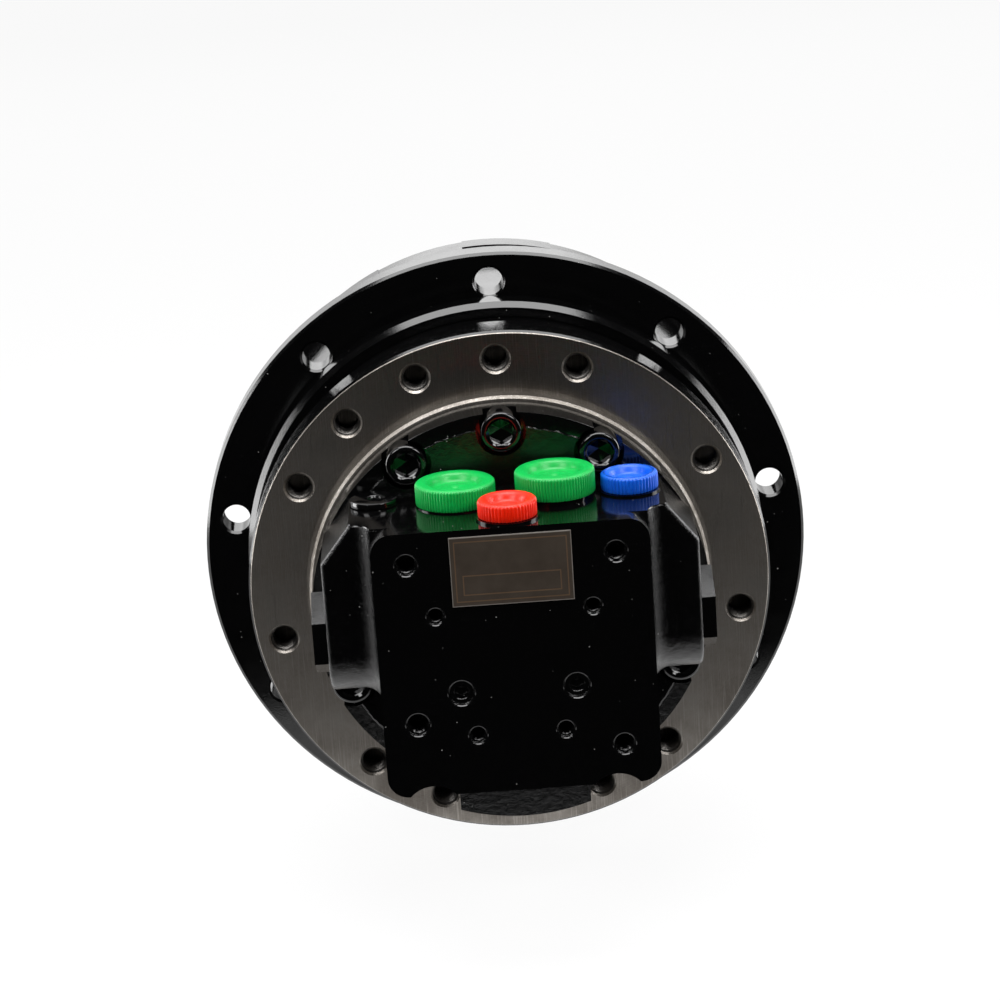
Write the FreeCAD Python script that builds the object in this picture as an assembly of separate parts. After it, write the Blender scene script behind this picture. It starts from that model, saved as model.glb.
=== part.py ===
import FreeCAD, Part
import math
import os

# Excavator final drive: a swash-plate travel motor inside a fixed spindle, and a two-stage planetary
# reduction that turns the hub and its sprocket flange around that spindle.
#
# Frame: origin on the drive axis, in the plane of the spindle's frame-mounting face.
# +Y runs along the drive axis to the gear cover, -Y to the port block. +Z is up. Millimetres.
# "Clock angle" is measured from +Z, positive towards +X.

# ---- frame flange of the spindle --------------------------------------------------------------
ring_diameter = 235.0
ring_thickness = 20.0
frame_bolt_inset = 12.5
frame_thread = 12.0
frame_thread_depth = 16.0
frame_bolt_pitch = 20.0
frame_bolts_missing = (40, 80, 120, 180, 240, 280)
ring_land = 27.5
pilot_height = 8.0
collar_step = 4.5
collar_length = 23.0
thread_chamfer = 1.0

# ---- spindle neck and motor chamber -----------------------------------------------------------
neck_shoulder_height = 6.0
neck_shoulder_width = 3.0
neck_end = 105.0
brake_bore_depth = 34.5
motor_bore_gap = 13.0
end_wall_face = 72.0
edge_chamfer = 1.2

# ---- hub, ring gear and gear cover ------------------------------------------------------------
labyrinth_gap = 2.0
flange_face = 59.0
flange_thickness = 14.6
flange_reach = 22.0
sprocket_bolt_inset = 13.5
sprocket_bolts = 9
sprocket_hole = 13.0
boss_step = 1.8
barrel_over_ring = 0.5
hub_end = 125.0
ring_gear_flange = 21.0
ring_gear_spigot = 21.0
spigot_step = 12.0
rear_spigot_step = 14.0
rear_spigot_length = 10.0
spigot_end_gap = 0.5
cover_thickness = 26.0
cover_reach = 5.5
cover_land = 18.0
cover_wall = 9.0
cover_lobes = 9
cover_lobe_width = 20.0
cover_lobe_height = 0.7
cover_first_lobe = 5.0
cover_bolts = 12
cover_bolt_inset = 6.0
cover_bolt_thread = 8.0
cover_bolt_head = 13.0
cover_bolt_recess = 14.4
cover_bolt_socket = 6.0
cover_bolt_sink = 9.0
cover_bolt_grip = 16.0
bolt_hole_play = 0.3
cover_slope = 7.0
cover_step = 3.0
cover_bore_margin = 4.0
cover_plug_circle = 120.0
cover_plug_angles = (90, 180, 300)
cover_plug_thread = 18.0
cover_plug_head = 24.0
cover_plug_head_height = 2.5
cover_plug_hex = 10.0
cover_plug_socket = 4.0
thrust_pad_diameter = 30.0

# ---- gear train -------------------------------------------------------------------------------
ring_gear_wall = 20.5
pressure_angle = 20.0
addendum = 0.8
dedendum = 1.0
flank_thinning = 0.17
ring_teeth = 76
sun_1_teeth = 14
sun_2_teeth = 20
planets_1 = 3
planets_2 = 4
stage_1_width = 16.0
stage_2_width = 20.0
stage_gap = 2.0
carrier_plate = 8.0
planet_pin_1 = 20.0
planet_pin_2 = 18.0
needle_thickness = 3.0
pin_depth_2 = 20.0
pin_head_reach = 4.0
pin_head_gap = 0.2
pin_head_1 = 1.5
pin_head_2 = 1.2
sun_cup_diameter = 27.0
sun_cup_length = 14.0
sun_stem_diameter = 20.0
sun_end_play = 0.5
sun_2_bore = 29.0
carrier_rim = 12.0
carrier_arm_width = 28.0
carrier_boss = 8.0

# ---- main bearings and face seal --------------------------------------------------------------
bearing_width = 20.0
bearing_wall = 4.0
bearing_section = 20.0
bearing_rollers = 20
roller_diameter = 9.0
roller_length = 14.0
roller_tilt = 12.0
roller_taper = 1.5
hub_rib_width = 8.0
hub_rib_height = 6.0
nut_width = 8.0
nut_height = 12.0
nut_slots = 4
nut_slot_width = 8.0
nut_slot_depth = 4.0
seal_wall = 3.0
seal_groove_width = 11.0
seal_groove_depth = 15.0
seal_ring_play = 1.0
seal_ring_thickness = 4.0
seal_ring_depth = 13.0
seal_lip_width = 7.0
seal_lip_depth = 3.0
seal_taper_end = 5.0
seal_face_gap = 0.05
toric_depth = 9.5
toric_play = 0.05

# ---- rear cover (port block) ------------------------------------------------------------------
block_front = 88.0
block_width = 117.6
block_top = 54.7
block_bottom = 63.4
slab_corner = 9.0
scallop_radius = 13.3
scallop_offset = 39.5
scallop_depth = 4.4
wing_reach = 80.8
wing_front = 70.0
wing_bottom = 24.5
wing_round = 20.0
wing_bevel_width = 13.4
wing_bevel_height = 17.0
wing_edge_round = 2.0
wing_fillet = 8.0
body_width = 96.0
body_bottom = 55.0
tab_width = 57.4
tab_front = 58.0
cover_flange_inset = 2.0
cover_flange_thickness = 20.0
screw_inset = 8.5
screw_hole_play = 0.5
screw_seat = 10.0
screw_angles = (0, 32, 113.4, 148, -148, -113.4, -32)
screw_thread = 12.0
screw_head = 18.0
screw_socket = 10.0
screw_grip = 22.0
pocket_radius = 11.0

# ---- ports and their transport caps -----------------------------------------------------------
main_port_x = 21.5
main_port_y = -47.6
main_port_thread = 21.0
main_cap_diameter = 34.6
drain_port_y = -73.7
drain_port_thread = 16.0
drain_cap_diameter = 25.2
pilot_port_x = 53.6
pilot_port_y = -45.2
pilot_port_thread = 13.0
pilot_cap_diameter = 24.8
port_depth = 16.0
main_passage = 10.0
motor_passage = 8.0
left_cap_height = 9.5
right_cap_height = 10.5
drain_cap_height = 7.5
pilot_cap_height = 7.4
main_seat_height = 0.5
tall_seat_height = 2.0
drain_seat_height = 1.0
pilot_seat_height = 0.8
seat_margin = 1.0
cap_rounding = 2.0
cap_dish_depth = 3.5
cap_dish_floor = 0.5
cap_dish_mouth = 0.6
cap_stem_length = 9.0
gauge_plug_x = -56.9
gauge_plug_y = -41.6
gauge_plug_diameter = 20.8
gauge_plug_height = 3.0
gauge_plug_shoulder = 3.0
gauge_plug_depth = 9.0
gauge_plug_round = 0.8
gauge_plug_hex = 8.0
thread_play = 0.15

# ---- valves in the block ----------------------------------------------------------------------
valve_axis_y = -50.0
valve_axis_z = 1.0
valve_bore = 22.0
valve_plug_thread = 27.0
valve_plug_hex = 32.0
valve_plug_head = 6.0
valve_plug_length = 14.0
valve_spool_length = 88.0
speed_spool_diameter = 12.0
speed_spool_length = 17.0
speed_travel = 5.0
speed_spool_gap = 0.2
speed_spring_room = 3.0
speed_groove_start = 6.0
speed_groove_end = 11.0
speed_groove_depth = 2.0
spool_groove_width = 18.0
spool_groove_depth = 4.0
spool_play = 0.05
spring_gap = 0.1
counter_spring_play = 2.6
counter_spring_wall = 2.4
counter_spring_sink = 8.0
speed_spring_play = 0.6
speed_spring_wall = 1.5

# ---- holes in the front face ------------------------------------------------------------------
upper_hole_x = 44.2
upper_hole_z = 41.0
upper_hole_diameter = 8.5
middle_hole_x = 33.3
middle_hole_z = 17.5
middle_hole_diameter = 6.6
lower_hole_x = 18.8
lower_hole_z = -37.0
lower_hole_diameter = 6.8
left_hole_x = -44.0
left_hole_z = -30.5
left_hole_diameter = 9.2
right_hole_x = 43.4
right_hole_z = -45.5
right_hole_diameter = 8.5
front_hole_depth = 16.0
front_plug_x = 24.6
front_plug_z = -17.5
front_plug_diameter = 10.2
front_plug_sink = 1.2
front_plug_length = 9.8
front_plug_hex = 5.0
front_plug_socket = 4.8
plate_width = 51.4
plate_height = 30.4
plate_thickness = 0.8
plate_centre_z = 36.5

# ---- travel motor -----------------------------------------------------------------------------
shaft_diameter = 20.0
shaft_tail = 18.0
spline_teeth = 12
spline_height = 1.6
spline_play = 0.08
spline_root_share = 0.25
spline_tip_share = 0.18
sun_spline_length = 12.0
pistons = 9
piston_circle = 52.0
piston_diameter = 12.2
piston_play = 0.06
piston_length = 34.0
piston_ball = 9.0
piston_neck = 5.2
piston_neck_gap = 1.5
piston_hollow = 6.0
piston_hollow_depth = 20.0
barrel_diameter_motor = 74.0
barrel_length = 41.0
barrel_floor = 7.0
kidney_width = 7.0
kidney_span = 130.0
valve_plate_thickness = 4.0
swash_diameter = 84.0
swash_centre = 60.0
swash_angle = 15.0
swash_travel = 7.0
swash_bore = 34.0
shoe_height = 9.0
shoe_ball_height = 6.0
shoe_flange = 17.0
shoe_pad = 2.4
shoe_body = 13.4
shoe_mouth = 11.2
shoe_throat = 6.4
shoe_mouth_depth = 3.4
shoe_mouth_start = 6.4
ball_play = 0.03
retainer_diameter = 70.0
retainer_thickness = 2.4
shoe_play = 0.2
guide_diameter = 28.0
guide_play = 2.2
guide_centre = 53.0
guide_cut = 57.0
pivot_ball = 12.0
pivot_play = 0.02
pivot_spacing = 60.0
control_piston_diameter = 12.0
control_piston_radius = 32.0
control_piston_length = 18.0
shaft_bearing_outer = 42.0
shaft_bearing_width = 12.0
shaft_bearing_setback = 1.5
shaft_bearing_balls = 8
shaft_ball = 6.6
race_gap = 1.8
needle_bearing_outer = 26.0
needle_bearing_width = 16.0
seal_outer = 35.0
seal_width = 7.0
seal_lip_play = 0.4
shaft_hole_play = 2.0

# ---- parking brake ----------------------------------------------------------------------------
friction_discs = 3
friction_thickness = 2.4
friction_gap = 1.0
friction_width = 16.0
steel_thickness = 2.0
steel_step = 4.0
brake_bore_gap = 6.0
disc_gap = 0.15
brake_piston_gap = 2.0
brake_piston_length = 13.0
brake_springs = 8
brake_spring_offset = 7.0
brake_spring_diameter = 9.0
brake_spring_wall = 1.6
brake_spring_pocket = 12.0
brake_spring_seat = 5.0
brake_spring_play = 0.5
brake_face_gap = 0.05

# ---- fits -------------------------------------------------------------------------------------
running_fit = 0.1
slip_fit = 0.05

# ---- worked-out sizes -------------------------------------------------------------------------
frame_bolt_circle = ring_diameter - 2 * frame_bolt_inset
pilot_diameter = ring_diameter - 2 * ring_land
collar_diameter = ring_diameter - 2 * collar_step
cover_flange_diameter = pilot_diameter - 2 * cover_flange_inset
screw_circle = cover_flange_diameter - 2 * screw_inset
seal_groove_outer = collar_diameter - 2 * seal_wall
seal_groove_inner = seal_groove_outer - 2 * seal_groove_width
seal_ring_inner = seal_groove_inner + 2 * seal_ring_play
bearing_outer = seal_groove_inner - 2 * bearing_wall
neck_diameter = bearing_outer - 2 * bearing_section
neck_shoulder_diameter = neck_diameter + 2 * neck_shoulder_height
nut_diameter = neck_diameter + 2 * nut_height
hub_rib_bore = bearing_outer - 2 * hub_rib_height
barrel_diameter = ring_diameter + 2 * barrel_over_ring
boss_diameter = barrel_diameter + 2 * boss_step
flange_diameter = barrel_diameter + 2 * flange_reach
sprocket_bolt_circle = flange_diameter - 2 * sprocket_bolt_inset
spigot_diameter = barrel_diameter - 2 * spigot_step
rear_spigot_diameter = barrel_diameter - 2 * rear_spigot_step
cover_diameter = barrel_diameter + 2 * cover_reach
cover_bolt_circle = barrel_diameter - 2 * cover_bolt_inset
gear_module = (barrel_diameter - 2 * ring_gear_wall) / (ring_teeth + 2 * dedendum)
motor_bore = barrel_diameter_motor + 2 * motor_bore_gap
friction_inner = barrel_diameter_motor + 2 * friction_gap
friction_outer = friction_inner + 2 * friction_width
steel_inner = friction_inner + 2 * steel_step
brake_bore = friction_outer + 2 * brake_bore_gap
brake_piston_inner = barrel_diameter_motor + 2 * brake_piston_gap
brake_spring_circle = brake_piston_inner + 2 * brake_spring_offset
collar_end = ring_thickness + collar_length
hub_front = collar_end + labyrinth_gap
flange_back = flange_face + flange_thickness
ring_gear_end = hub_end + ring_gear_flange
cover_end = ring_gear_end + cover_thickness
ring_pitch_radius = gear_module * ring_teeth / 2
planet_1_teeth = (ring_teeth - sun_1_teeth) // 2
planet_2_teeth = (ring_teeth - sun_2_teeth) // 2
planet_1_radius = gear_module * (sun_1_teeth + planet_1_teeth) / 2
planet_2_radius = gear_module * (sun_2_teeth + planet_2_teeth) / 2
stage_2_start = neck_end + stage_gap
stage_2_end = stage_2_start + stage_2_width
carrier_start = stage_2_end + stage_gap
stage_1_start = carrier_start + carrier_plate + stage_gap / 2
stage_1_end = stage_1_start + stage_1_width
sun_1_end = stage_1_end + 2.0
bearing_1_start = collar_end + neck_shoulder_width
bearing_1_end = bearing_1_start + bearing_width
bearing_2_start = bearing_1_end + hub_rib_width
bearing_2_end = bearing_2_start + bearing_width
cover_face = -pilot_height
screw_seat_y = cover_face - screw_seat
flange_front_y = cover_face - cover_flange_thickness
barrel_start = cover_face + valve_plate_thickness + running_fit
barrel_end = barrel_start + barrel_length
spline_radius = shaft_diameter / 2 + spline_height
shaft_bearing_end = end_wall_face + shaft_bearing_setback + shaft_bearing_width
shaft_seal_start = shaft_bearing_end + shaft_bearing_setback
sun_shaft_joint = stage_2_start + 8.0
speed_spool_top = block_top - port_depth - speed_spool_gap
speed_bore_end = block_top - port_depth - speed_spool_length - speed_travel - speed_spring_room


def cylinder(radius, y_from, y_to, x=0.0, z=0.0):
    """A solid cylinder along Y."""
    base = FreeCAD.Vector(x, y_from, z)
    return Part.makeCylinder(radius, y_to - y_from, base, FreeCAD.Vector(0, 1, 0))


def tube(inner, outer, y_from, y_to, x=0.0, z=0.0):
    """A hollow cylinder along Y; inner and outer are radii."""
    return cylinder(outer, y_from, y_to, x, z).cut(cylinder(inner, y_from, y_to, x, z))


def upright(radius, x, y, z_from, z_to):
    """A solid cylinder along Z."""
    return Part.makeCylinder(radius, z_to - z_from, FreeCAD.Vector(x, y, z_from))


def crosswise(radius, x_from, x_to, y, z):
    """A solid cylinder along X."""
    base = FreeCAD.Vector(x_from, y, z)
    return Part.makeCylinder(radius, x_to - x_from, base, FreeCAD.Vector(1, 0, 0))


def box(x_from, x_to, y_from, y_to, z_from, z_to):
    size = (x_to - x_from, y_to - y_from, z_to - z_from)
    return Part.makeBox(*size, FreeCAD.Vector(x_from, y_from, z_from))


def turned(profile):
    """A solid of revolution about the drive axis from (radius, y) corners."""
    corners = [FreeCAD.Vector(radius, y, 0) for radius, y in profile]
    face = Part.Face(Part.makePolygon(corners + corners[:1]))
    return face.revolve(FreeCAD.Vector(0, 0, 0), FreeCAD.Vector(0, 1, 0), 360)


def turn(shape, clock, x=0.0, z=0.0):
    """A copy of the shape turned by a clock angle about an axis along Y."""
    return shape.rotated(FreeCAD.Vector(x, 0, z), FreeCAD.Vector(0, 1, 0), clock)


def on_circle(radius, clock):
    """(x, z) of a place on a circle about the drive axis."""
    return radius * math.sin(math.radians(clock)), radius * math.cos(math.radians(clock))


def prism(points, y_from, y_to):
    """A straight solid along Y over a closed outline of (x, z) corners."""
    corners = [FreeCAD.Vector(x, y_from, z) for x, z in points]
    face = Part.Face(Part.makePolygon(corners + corners[:1]))
    return face.extrude(FreeCAD.Vector(0, y_to - y_from, 0))


def hexagon(flats, y_from, y_to, x=0.0, z=0.0):
    radius = flats / math.sqrt(3)
    points = []
    for corner in range(6):
        dx, dz = on_circle(radius, 60 * corner + 30)
        points.append((x + dx, z + dz))
    return prism(points, y_from, y_to)


def cut_all(shape, tools):
    return shape.cut(Part.makeCompound(tools)) if tools else shape


def save(name, *solids):
    """Write one sub-part: one solid, or a group of like solids."""
    shape = solids[0] if len(solids) == 1 else Part.makeCompound(list(solids))
    shape.exportStep(os.path.join("parts", name + ".step"))


def threaded_hole(diameter, depth, x, z, mouth, inward=1):
    """The tool for a tapped hole along Y with a small chamfer at its mouth."""
    radius = diameter / 2
    far = mouth + inward * depth
    hole = cylinder(radius, min(mouth, far), max(mouth, far), x, z)
    direction = FreeCAD.Vector(0, inward, 0)
    chamfer = Part.makeCone(radius + thread_chamfer, radius, thread_chamfer,
                            FreeCAD.Vector(x, mouth, z), direction)
    return hole.fuse(chamfer)


# ---- involute gears ---------------------------------------------------------------------------
def involute(angle):
    return math.tan(angle) - angle


def flank_angle(teeth, radius, half_width):
    """Half the angle of a tooth (or of a ring gear's tooth space) at a radius, in radians."""
    pitch_radius = gear_module * teeth / 2
    pressure = math.radians(pressure_angle)
    base_radius = pitch_radius * math.cos(pressure)
    here = math.acos(min(1.0, base_radius / radius))
    return half_width / pitch_radius + involute(pressure) - involute(here)


def gear_outline(teeth, radii, half_width, phase):
    """Corners of a toothed outline; the first tooth's middle is at the clock angle phase."""
    points = []
    for tooth in range(teeth):
        middle = phase + 360.0 * tooth / teeth
        half = [(r, math.degrees(flank_angle(teeth, r, half_width))) for r in radii]
        for radius, angle in half:
            points.append(on_circle(radius, middle - angle))
        for radius, angle in reversed(half):
            points.append(on_circle(radius, middle + angle))
    return points


def external_gear(teeth, y_from, y_to, phase):
    """A solid spur gear with flanks thinned to leave the mesh its backlash."""
    pitch_radius = gear_module * teeth / 2
    radii = (pitch_radius - dedendum * gear_module, pitch_radius, pitch_radius + addendum * gear_module)
    half_width = math.pi * gear_module / 4 - flank_thinning
    return prism(gear_outline(teeth, radii, half_width, phase), y_from, y_to)


def internal_gear_tool(teeth, y_from, y_to):
    """What is cut out of a ring to leave its inner teeth; a tooth space is at the top."""
    pitch_radius = gear_module * teeth / 2
    radii = (pitch_radius - addendum * gear_module, pitch_radius, pitch_radius + dedendum * gear_module)
    half_width = math.pi * gear_module / 4 + flank_thinning
    return prism(gear_outline(teeth, radii, half_width, 0.0), y_from, y_to)


def planet_phase(teeth, clock):
    """The clock angle of a tooth of a planet at a clock angle, in mesh with the ring gear."""
    return clock - math.fmod(clock * ring_teeth, 360.0) / teeth


def spline(minor_radius, major_radius, y_from, y_to, play=0.0):
    """A straight-sided spline shaft, or the tool for its hub when play is given."""
    points = []
    step = 360.0 / spline_teeth
    wide = math.degrees(play / minor_radius)
    for tooth in range(spline_teeth):
        middle = step * tooth
        root = step * spline_root_share + wide
        tip = step * spline_tip_share + wide
        points.append(on_circle(minor_radius + play, middle - root))
        points.append(on_circle(major_radius + play, middle - tip))
        points.append(on_circle(major_radius + play, middle + tip))
        points.append(on_circle(minor_radius + play, middle + root))
    return prism(points, y_from, y_to)


# ---- spindle ----------------------------------------------------------------------------------
def frame_bolt_angles():
    angles = [frame_bolt_pitch * step for step in range(int(round(360 / frame_bolt_pitch)))]
    return [angle for angle in angles if round(angle) not in frame_bolts_missing]


def spindle():
    """The fixed casting: mounting ring with pilot, seal collar, bearing neck and pin holder."""
    ring_r = ring_diameter / 2
    neck_r = neck_diameter / 2
    body = turned([
        (0, cover_face),
        (pilot_diameter / 2 - edge_chamfer, cover_face),
        (pilot_diameter / 2, cover_face + edge_chamfer),
        (pilot_diameter / 2, 0),
        (ring_r - edge_chamfer, 0),
        (ring_r, edge_chamfer),
        (ring_r, ring_thickness - edge_chamfer),
        (ring_r - edge_chamfer, ring_thickness),
        (collar_diameter / 2, ring_thickness),
        (collar_diameter / 2, collar_end),
        (neck_shoulder_diameter / 2, collar_end),
        (neck_shoulder_diameter / 2, bearing_1_start),
        (neck_r, bearing_1_start),
        (neck_r, neck_end - edge_chamfer),
        (neck_r - edge_chamfer, neck_end),
        (0, neck_end),
    ])
    tools = [
        cylinder(brake_bore / 2, cover_face, brake_bore_depth + cover_face),
        cylinder(motor_bore / 2, cover_face, end_wall_face),
        cylinder(shaft_bearing_outer / 2, end_wall_face, shaft_bearing_end),
        cylinder(seal_outer / 2, end_wall_face, shaft_seal_start + seal_width),
        cylinder(spline_radius + shaft_hole_play, end_wall_face, neck_end),
        tube(seal_groove_inner / 2, seal_groove_outer / 2, collar_end - seal_groove_depth, collar_end),
    ]
    for clock in frame_bolt_angles():
        x, z = on_circle(frame_bolt_circle / 2, clock)
        tools.append(threaded_hole(frame_thread, frame_thread_depth, x, z, 0))
    for clock in screw_angles:
        x, z = on_circle(screw_circle / 2, clock)
        tools.append(cylinder(screw_thread / 2, cover_face, cover_face + screw_grip - screw_seat + 6, x, z))
    for place in range(planets_2):
        x, z = on_circle(planet_2_radius, 360.0 * place / planets_2)
        tools.append(cylinder(planet_pin_2 / 2, neck_end - pin_depth_2, neck_end, x, z))
    tools.append(cylinder(control_piston_diameter / 2 + slip_fit, end_wall_face,
                          end_wall_face + control_piston_length + 4, 0, control_piston_radius))
    for side in (-1, 1):
        centre = FreeCAD.Vector(side * pivot_spacing / 2, end_wall_face, 0)
        tools.append(Part.makeSphere(pivot_ball / 2, centre))
    return cut_all(body, tools)


# ---- rear cover -------------------------------------------------------------------------------
def wing_profile():
    """Side view of a valve boss: flat top, straight front, round lower front edge."""
    top_back = FreeCAD.Vector(0, flange_front_y + 1, block_top)
    top_front = FreeCAD.Vector(0, -wing_front, block_top)
    round_top = FreeCAD.Vector(0, -wing_front, -wing_bottom + wing_round)
    middle_angle = math.radians(225)
    centre_y = -wing_front + wing_round
    centre_z = -wing_bottom + wing_round
    middle = FreeCAD.Vector(0, centre_y + wing_round * math.cos(middle_angle),
                            centre_z + wing_round * math.sin(middle_angle))
    round_end = FreeCAD.Vector(0, centre_y, -wing_bottom)
    bottom_back = FreeCAD.Vector(0, flange_front_y + 1, -wing_bottom)
    edges = [
        Part.makeLine(top_back, top_front),
        Part.makeLine(top_front, round_top),
        Part.Arc(round_top, middle, round_end).toShape(),
        Part.makeLine(round_end, bottom_back),
        Part.makeLine(bottom_back, top_back),
    ]
    return Part.Face(Part.Wire(edges))


def wing_edges(wing):
    """The cast edges round the outer ends of the valve bosses; the port face stays sharp."""
    chosen = []
    for edge in wing.Edges:
        middle = edge.CenterOfMass
        at_side = abs(middle.x) > wing_reach - wing_bevel_width + 1e-6
        if at_side and middle.z < block_top - 1e-6 and middle.y < flange_front_y - 1:
            chosen.append(edge)
    return chosen


def wing_fillets():
    """The concave cast fillet between the slab's sides and the front and underside of each boss."""
    inner = body_width / 2 - 1
    foot = block_width / 2
    toe = foot + wing_fillet
    crest = -wing_front - wing_fillet
    knee_y = -wing_front + wing_round
    knee_z = -wing_bottom + wing_round
    pull = wing_fillet * math.cos(math.radians(45))
    front = [FreeCAD.Vector(x, y, knee_z) for x, y in (
        (foot, crest), (inner, crest), (inner, -wing_front + 1), (toe, -wing_front + 1), (toe, -wing_front))]
    sides = [Part.makeLine(a, b) for a, b in zip(front, front[1:])]
    middle = FreeCAD.Vector(toe - pull, crest + pull, knee_z)
    section = Part.Face(Part.Wire(sides + [Part.Arc(front[-1], middle, front[0]).toShape()]))
    knee = FreeCAD.Vector(0, knee_y, knee_z)
    upright_part = section.extrude(FreeCAD.Vector(0, 0, block_top - knee_z))
    round_part = section.revolve(knee, FreeCAD.Vector(1, 0, 0), 90)
    turned_section = section.rotated(knee, FreeCAD.Vector(1, 0, 0), 90)
    under_part = turned_section.extrude(FreeCAD.Vector(0, flange_front_y + 1 - knee_y, 0))
    right = upright_part.multiFuse([round_part, under_part])
    return [right, right.mirror(FreeCAD.Vector(0, 0, 0), FreeCAD.Vector(1, 0, 0))]


def port_seats():
    """Low raised rings on the port face, one round each port."""
    return [upright(diameter / 2 + margin, x, y, block_top - 1, block_top + height)
            for x, y, diameter, margin, height in (
                (-main_port_x, main_port_y, main_cap_diameter, 0.0, main_seat_height),
                (main_port_x, main_port_y, main_cap_diameter, -seat_margin, tall_seat_height),
                (0.0, drain_port_y, drain_cap_diameter, seat_margin, drain_seat_height),
                (pilot_port_x, pilot_port_y, pilot_cap_diameter, seat_margin, pilot_seat_height))]


def rear_cover_casting():
    """The outside of the port block before any hole is drilled."""
    half = block_width / 2
    slab = box(-half, half, -block_front, -wing_front, -block_bottom, block_top)
    corners = [e for e in slab.Edges if abs(e.Vertexes[0].Z - e.Vertexes[-1].Z) < 1e-6
               and abs(e.Vertexes[0].X - e.Vertexes[-1].X) < 1e-6]
    slab = slab.makeFillet(slab_corner, corners)
    scallop_z = -block_bottom + scallop_depth - scallop_radius
    for side in (-1, 1):
        slab = slab.cut(cylinder(scallop_radius, -block_front, -wing_front, side * scallop_offset, scallop_z))
    wing = wing_profile().extrude(FreeCAD.Vector(2 * wing_reach, 0, 0))
    wing.translate(FreeCAD.Vector(-wing_reach, 0, 0))
    for side in (-1, 1):
        bevel = prism([
            (side * wing_reach, block_top - wing_bevel_height),
            (side * (wing_reach + 1), block_top - wing_bevel_height),
            (side * (wing_reach + 1), block_top + 1),
            (side * (wing_reach - wing_bevel_width), block_top + 1),
            (side * (wing_reach - wing_bevel_width), block_top),
        ], -block_front, 0)
        wing = wing.cut(bevel)
    wing = wing.makeFillet(wing_edge_round, wing_edges(wing))
    body = box(-body_width / 2, body_width / 2, -wing_front, flange_front_y + 1, -body_bottom, block_top)
    flange = cylinder(cover_flange_diameter / 2, flange_front_y, cover_face)
    tab_blank = box(-tab_width / 2, tab_width / 2, -tab_front, flange_front_y, -cover_flange_diameter, 0)
    tab = cylinder(cover_flange_diameter / 2, -tab_front, flange_front_y).common(tab_blank)
    return slab.multiFuse([wing, body, flange, tab, *wing_fillets(), *port_seats()]).removeSplitter()


def screw_pockets():
    """Round recesses in the flange's front, open at its rim, down to each screw's seat."""
    tools = []
    for clock in screw_angles:
        x, z = on_circle(screw_circle / 2, clock)
        tools.append(cylinder(pocket_radius, screw_seat_y - screw_thread - 1, screw_seat_y, x, z))
    return tools


def port_bores():
    """The ports, the passages under them, and the bores of the two-speed valve and gauge plug."""
    floor = block_top - port_depth
    mouth = block_top + tall_seat_height
    tools = []
    for side in (-1, 1):
        x = side * main_port_x
        tools.append(upright(main_port_thread / 2, x, main_port_y, floor, mouth))
        tools.append(upright(main_passage / 2, x, main_port_y, valve_axis_z, floor))
        tools.append(cylinder(motor_passage / 2, valve_axis_y, cover_face,
                              side * piston_circle / 2, valve_axis_z))
    tools.append(upright(drain_port_thread / 2, 0, drain_port_y, floor, mouth))
    tools.append(upright(pilot_port_thread / 2, pilot_port_x, pilot_port_y, floor, mouth))
    speed_r = speed_spool_diameter / 2 + spool_play
    tools.append(upright(speed_r, pilot_port_x, pilot_port_y, speed_bore_end, floor))
    plug_r = gauge_plug_diameter / 2 - gauge_plug_shoulder
    tools.append(upright(plug_r, gauge_plug_x, gauge_plug_y, block_top - gauge_plug_depth - 1, block_top))
    return tools


def front_holes():
    """Tapped and plugged holes in the front face; four kinds come in pairs."""
    tools = [
        threaded_hole(left_hole_diameter, front_hole_depth, left_hole_x, left_hole_z, -block_front),
        threaded_hole(right_hole_diameter, front_hole_depth, right_hole_x, right_hole_z, -block_front),
    ]
    for side in (-1, 1):
        for diameter, x, z in (
                (upper_hole_diameter, upper_hole_x, upper_hole_z),
                (middle_hole_diameter, middle_hole_x, middle_hole_z),
                (lower_hole_diameter, lower_hole_x, lower_hole_z),
                (front_plug_diameter, front_plug_x, front_plug_z)):
            tools.append(threaded_hole(diameter, front_hole_depth, side * x, z, -block_front))
    return tools


def rear_cover():
    """The port block: it closes the motor chamber and holds the ports and valves."""
    shape = cut_all(rear_cover_casting(), screw_pockets())
    tools = port_bores() + front_holes()
    for clock in screw_angles:
        x, z = on_circle(screw_circle / 2, clock)
        tools.append(cylinder(screw_thread / 2 + screw_hole_play, screw_seat_y, cover_face, x, z))
    tools.append(crosswise(valve_bore / 2, -wing_reach, wing_reach, valve_axis_y, valve_axis_z))
    for side in (-1, 1):
        start, end = sorted((side * wing_reach, side * (wing_reach - valve_plug_length)))
        tools.append(crosswise(valve_plug_thread / 2, start, end, valve_axis_y, valve_axis_z))
    tools.append(cylinder(needle_bearing_outer / 2, cover_face - needle_bearing_width - 2, cover_face))
    for place in range(brake_springs):
        x, z = on_circle(brake_spring_circle / 2, 360.0 * (place + 0.5) / brake_springs)
        tools.append(cylinder(brake_spring_diameter / 2 + brake_spring_play,
                              cover_face - brake_spring_pocket, cover_face, x, z))
    return cut_all(shape, tools)


def cap_screw(thread, head, head_height, length, socket, seat_y, direction, x, z):
    """A socket-head cap screw along Y; its head lies on the seat, opposite to direction."""
    shank_end = seat_y + direction * length
    head_end = seat_y - direction * head_height
    shank = cylinder(thread / 2, min(seat_y, shank_end), max(seat_y, shank_end), x, z)
    top = cylinder(head / 2, min(seat_y, head_end), max(seat_y, head_end), x, z)
    floor = head_end + direction * head_height * 0.5
    recess = hexagon(socket, min(head_end, floor), max(head_end, floor), x, z)
    return shank.fuse(top).cut(recess)


def rear_cover_screws():
    screws = []
    for clock in screw_angles:
        x, z = on_circle(screw_circle / 2, clock)
        screws.append(cap_screw(screw_thread - 2 * thread_play, screw_head, screw_thread, screw_grip,
                                screw_socket, screw_seat_y, 1, x, z))
    return screws


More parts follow.
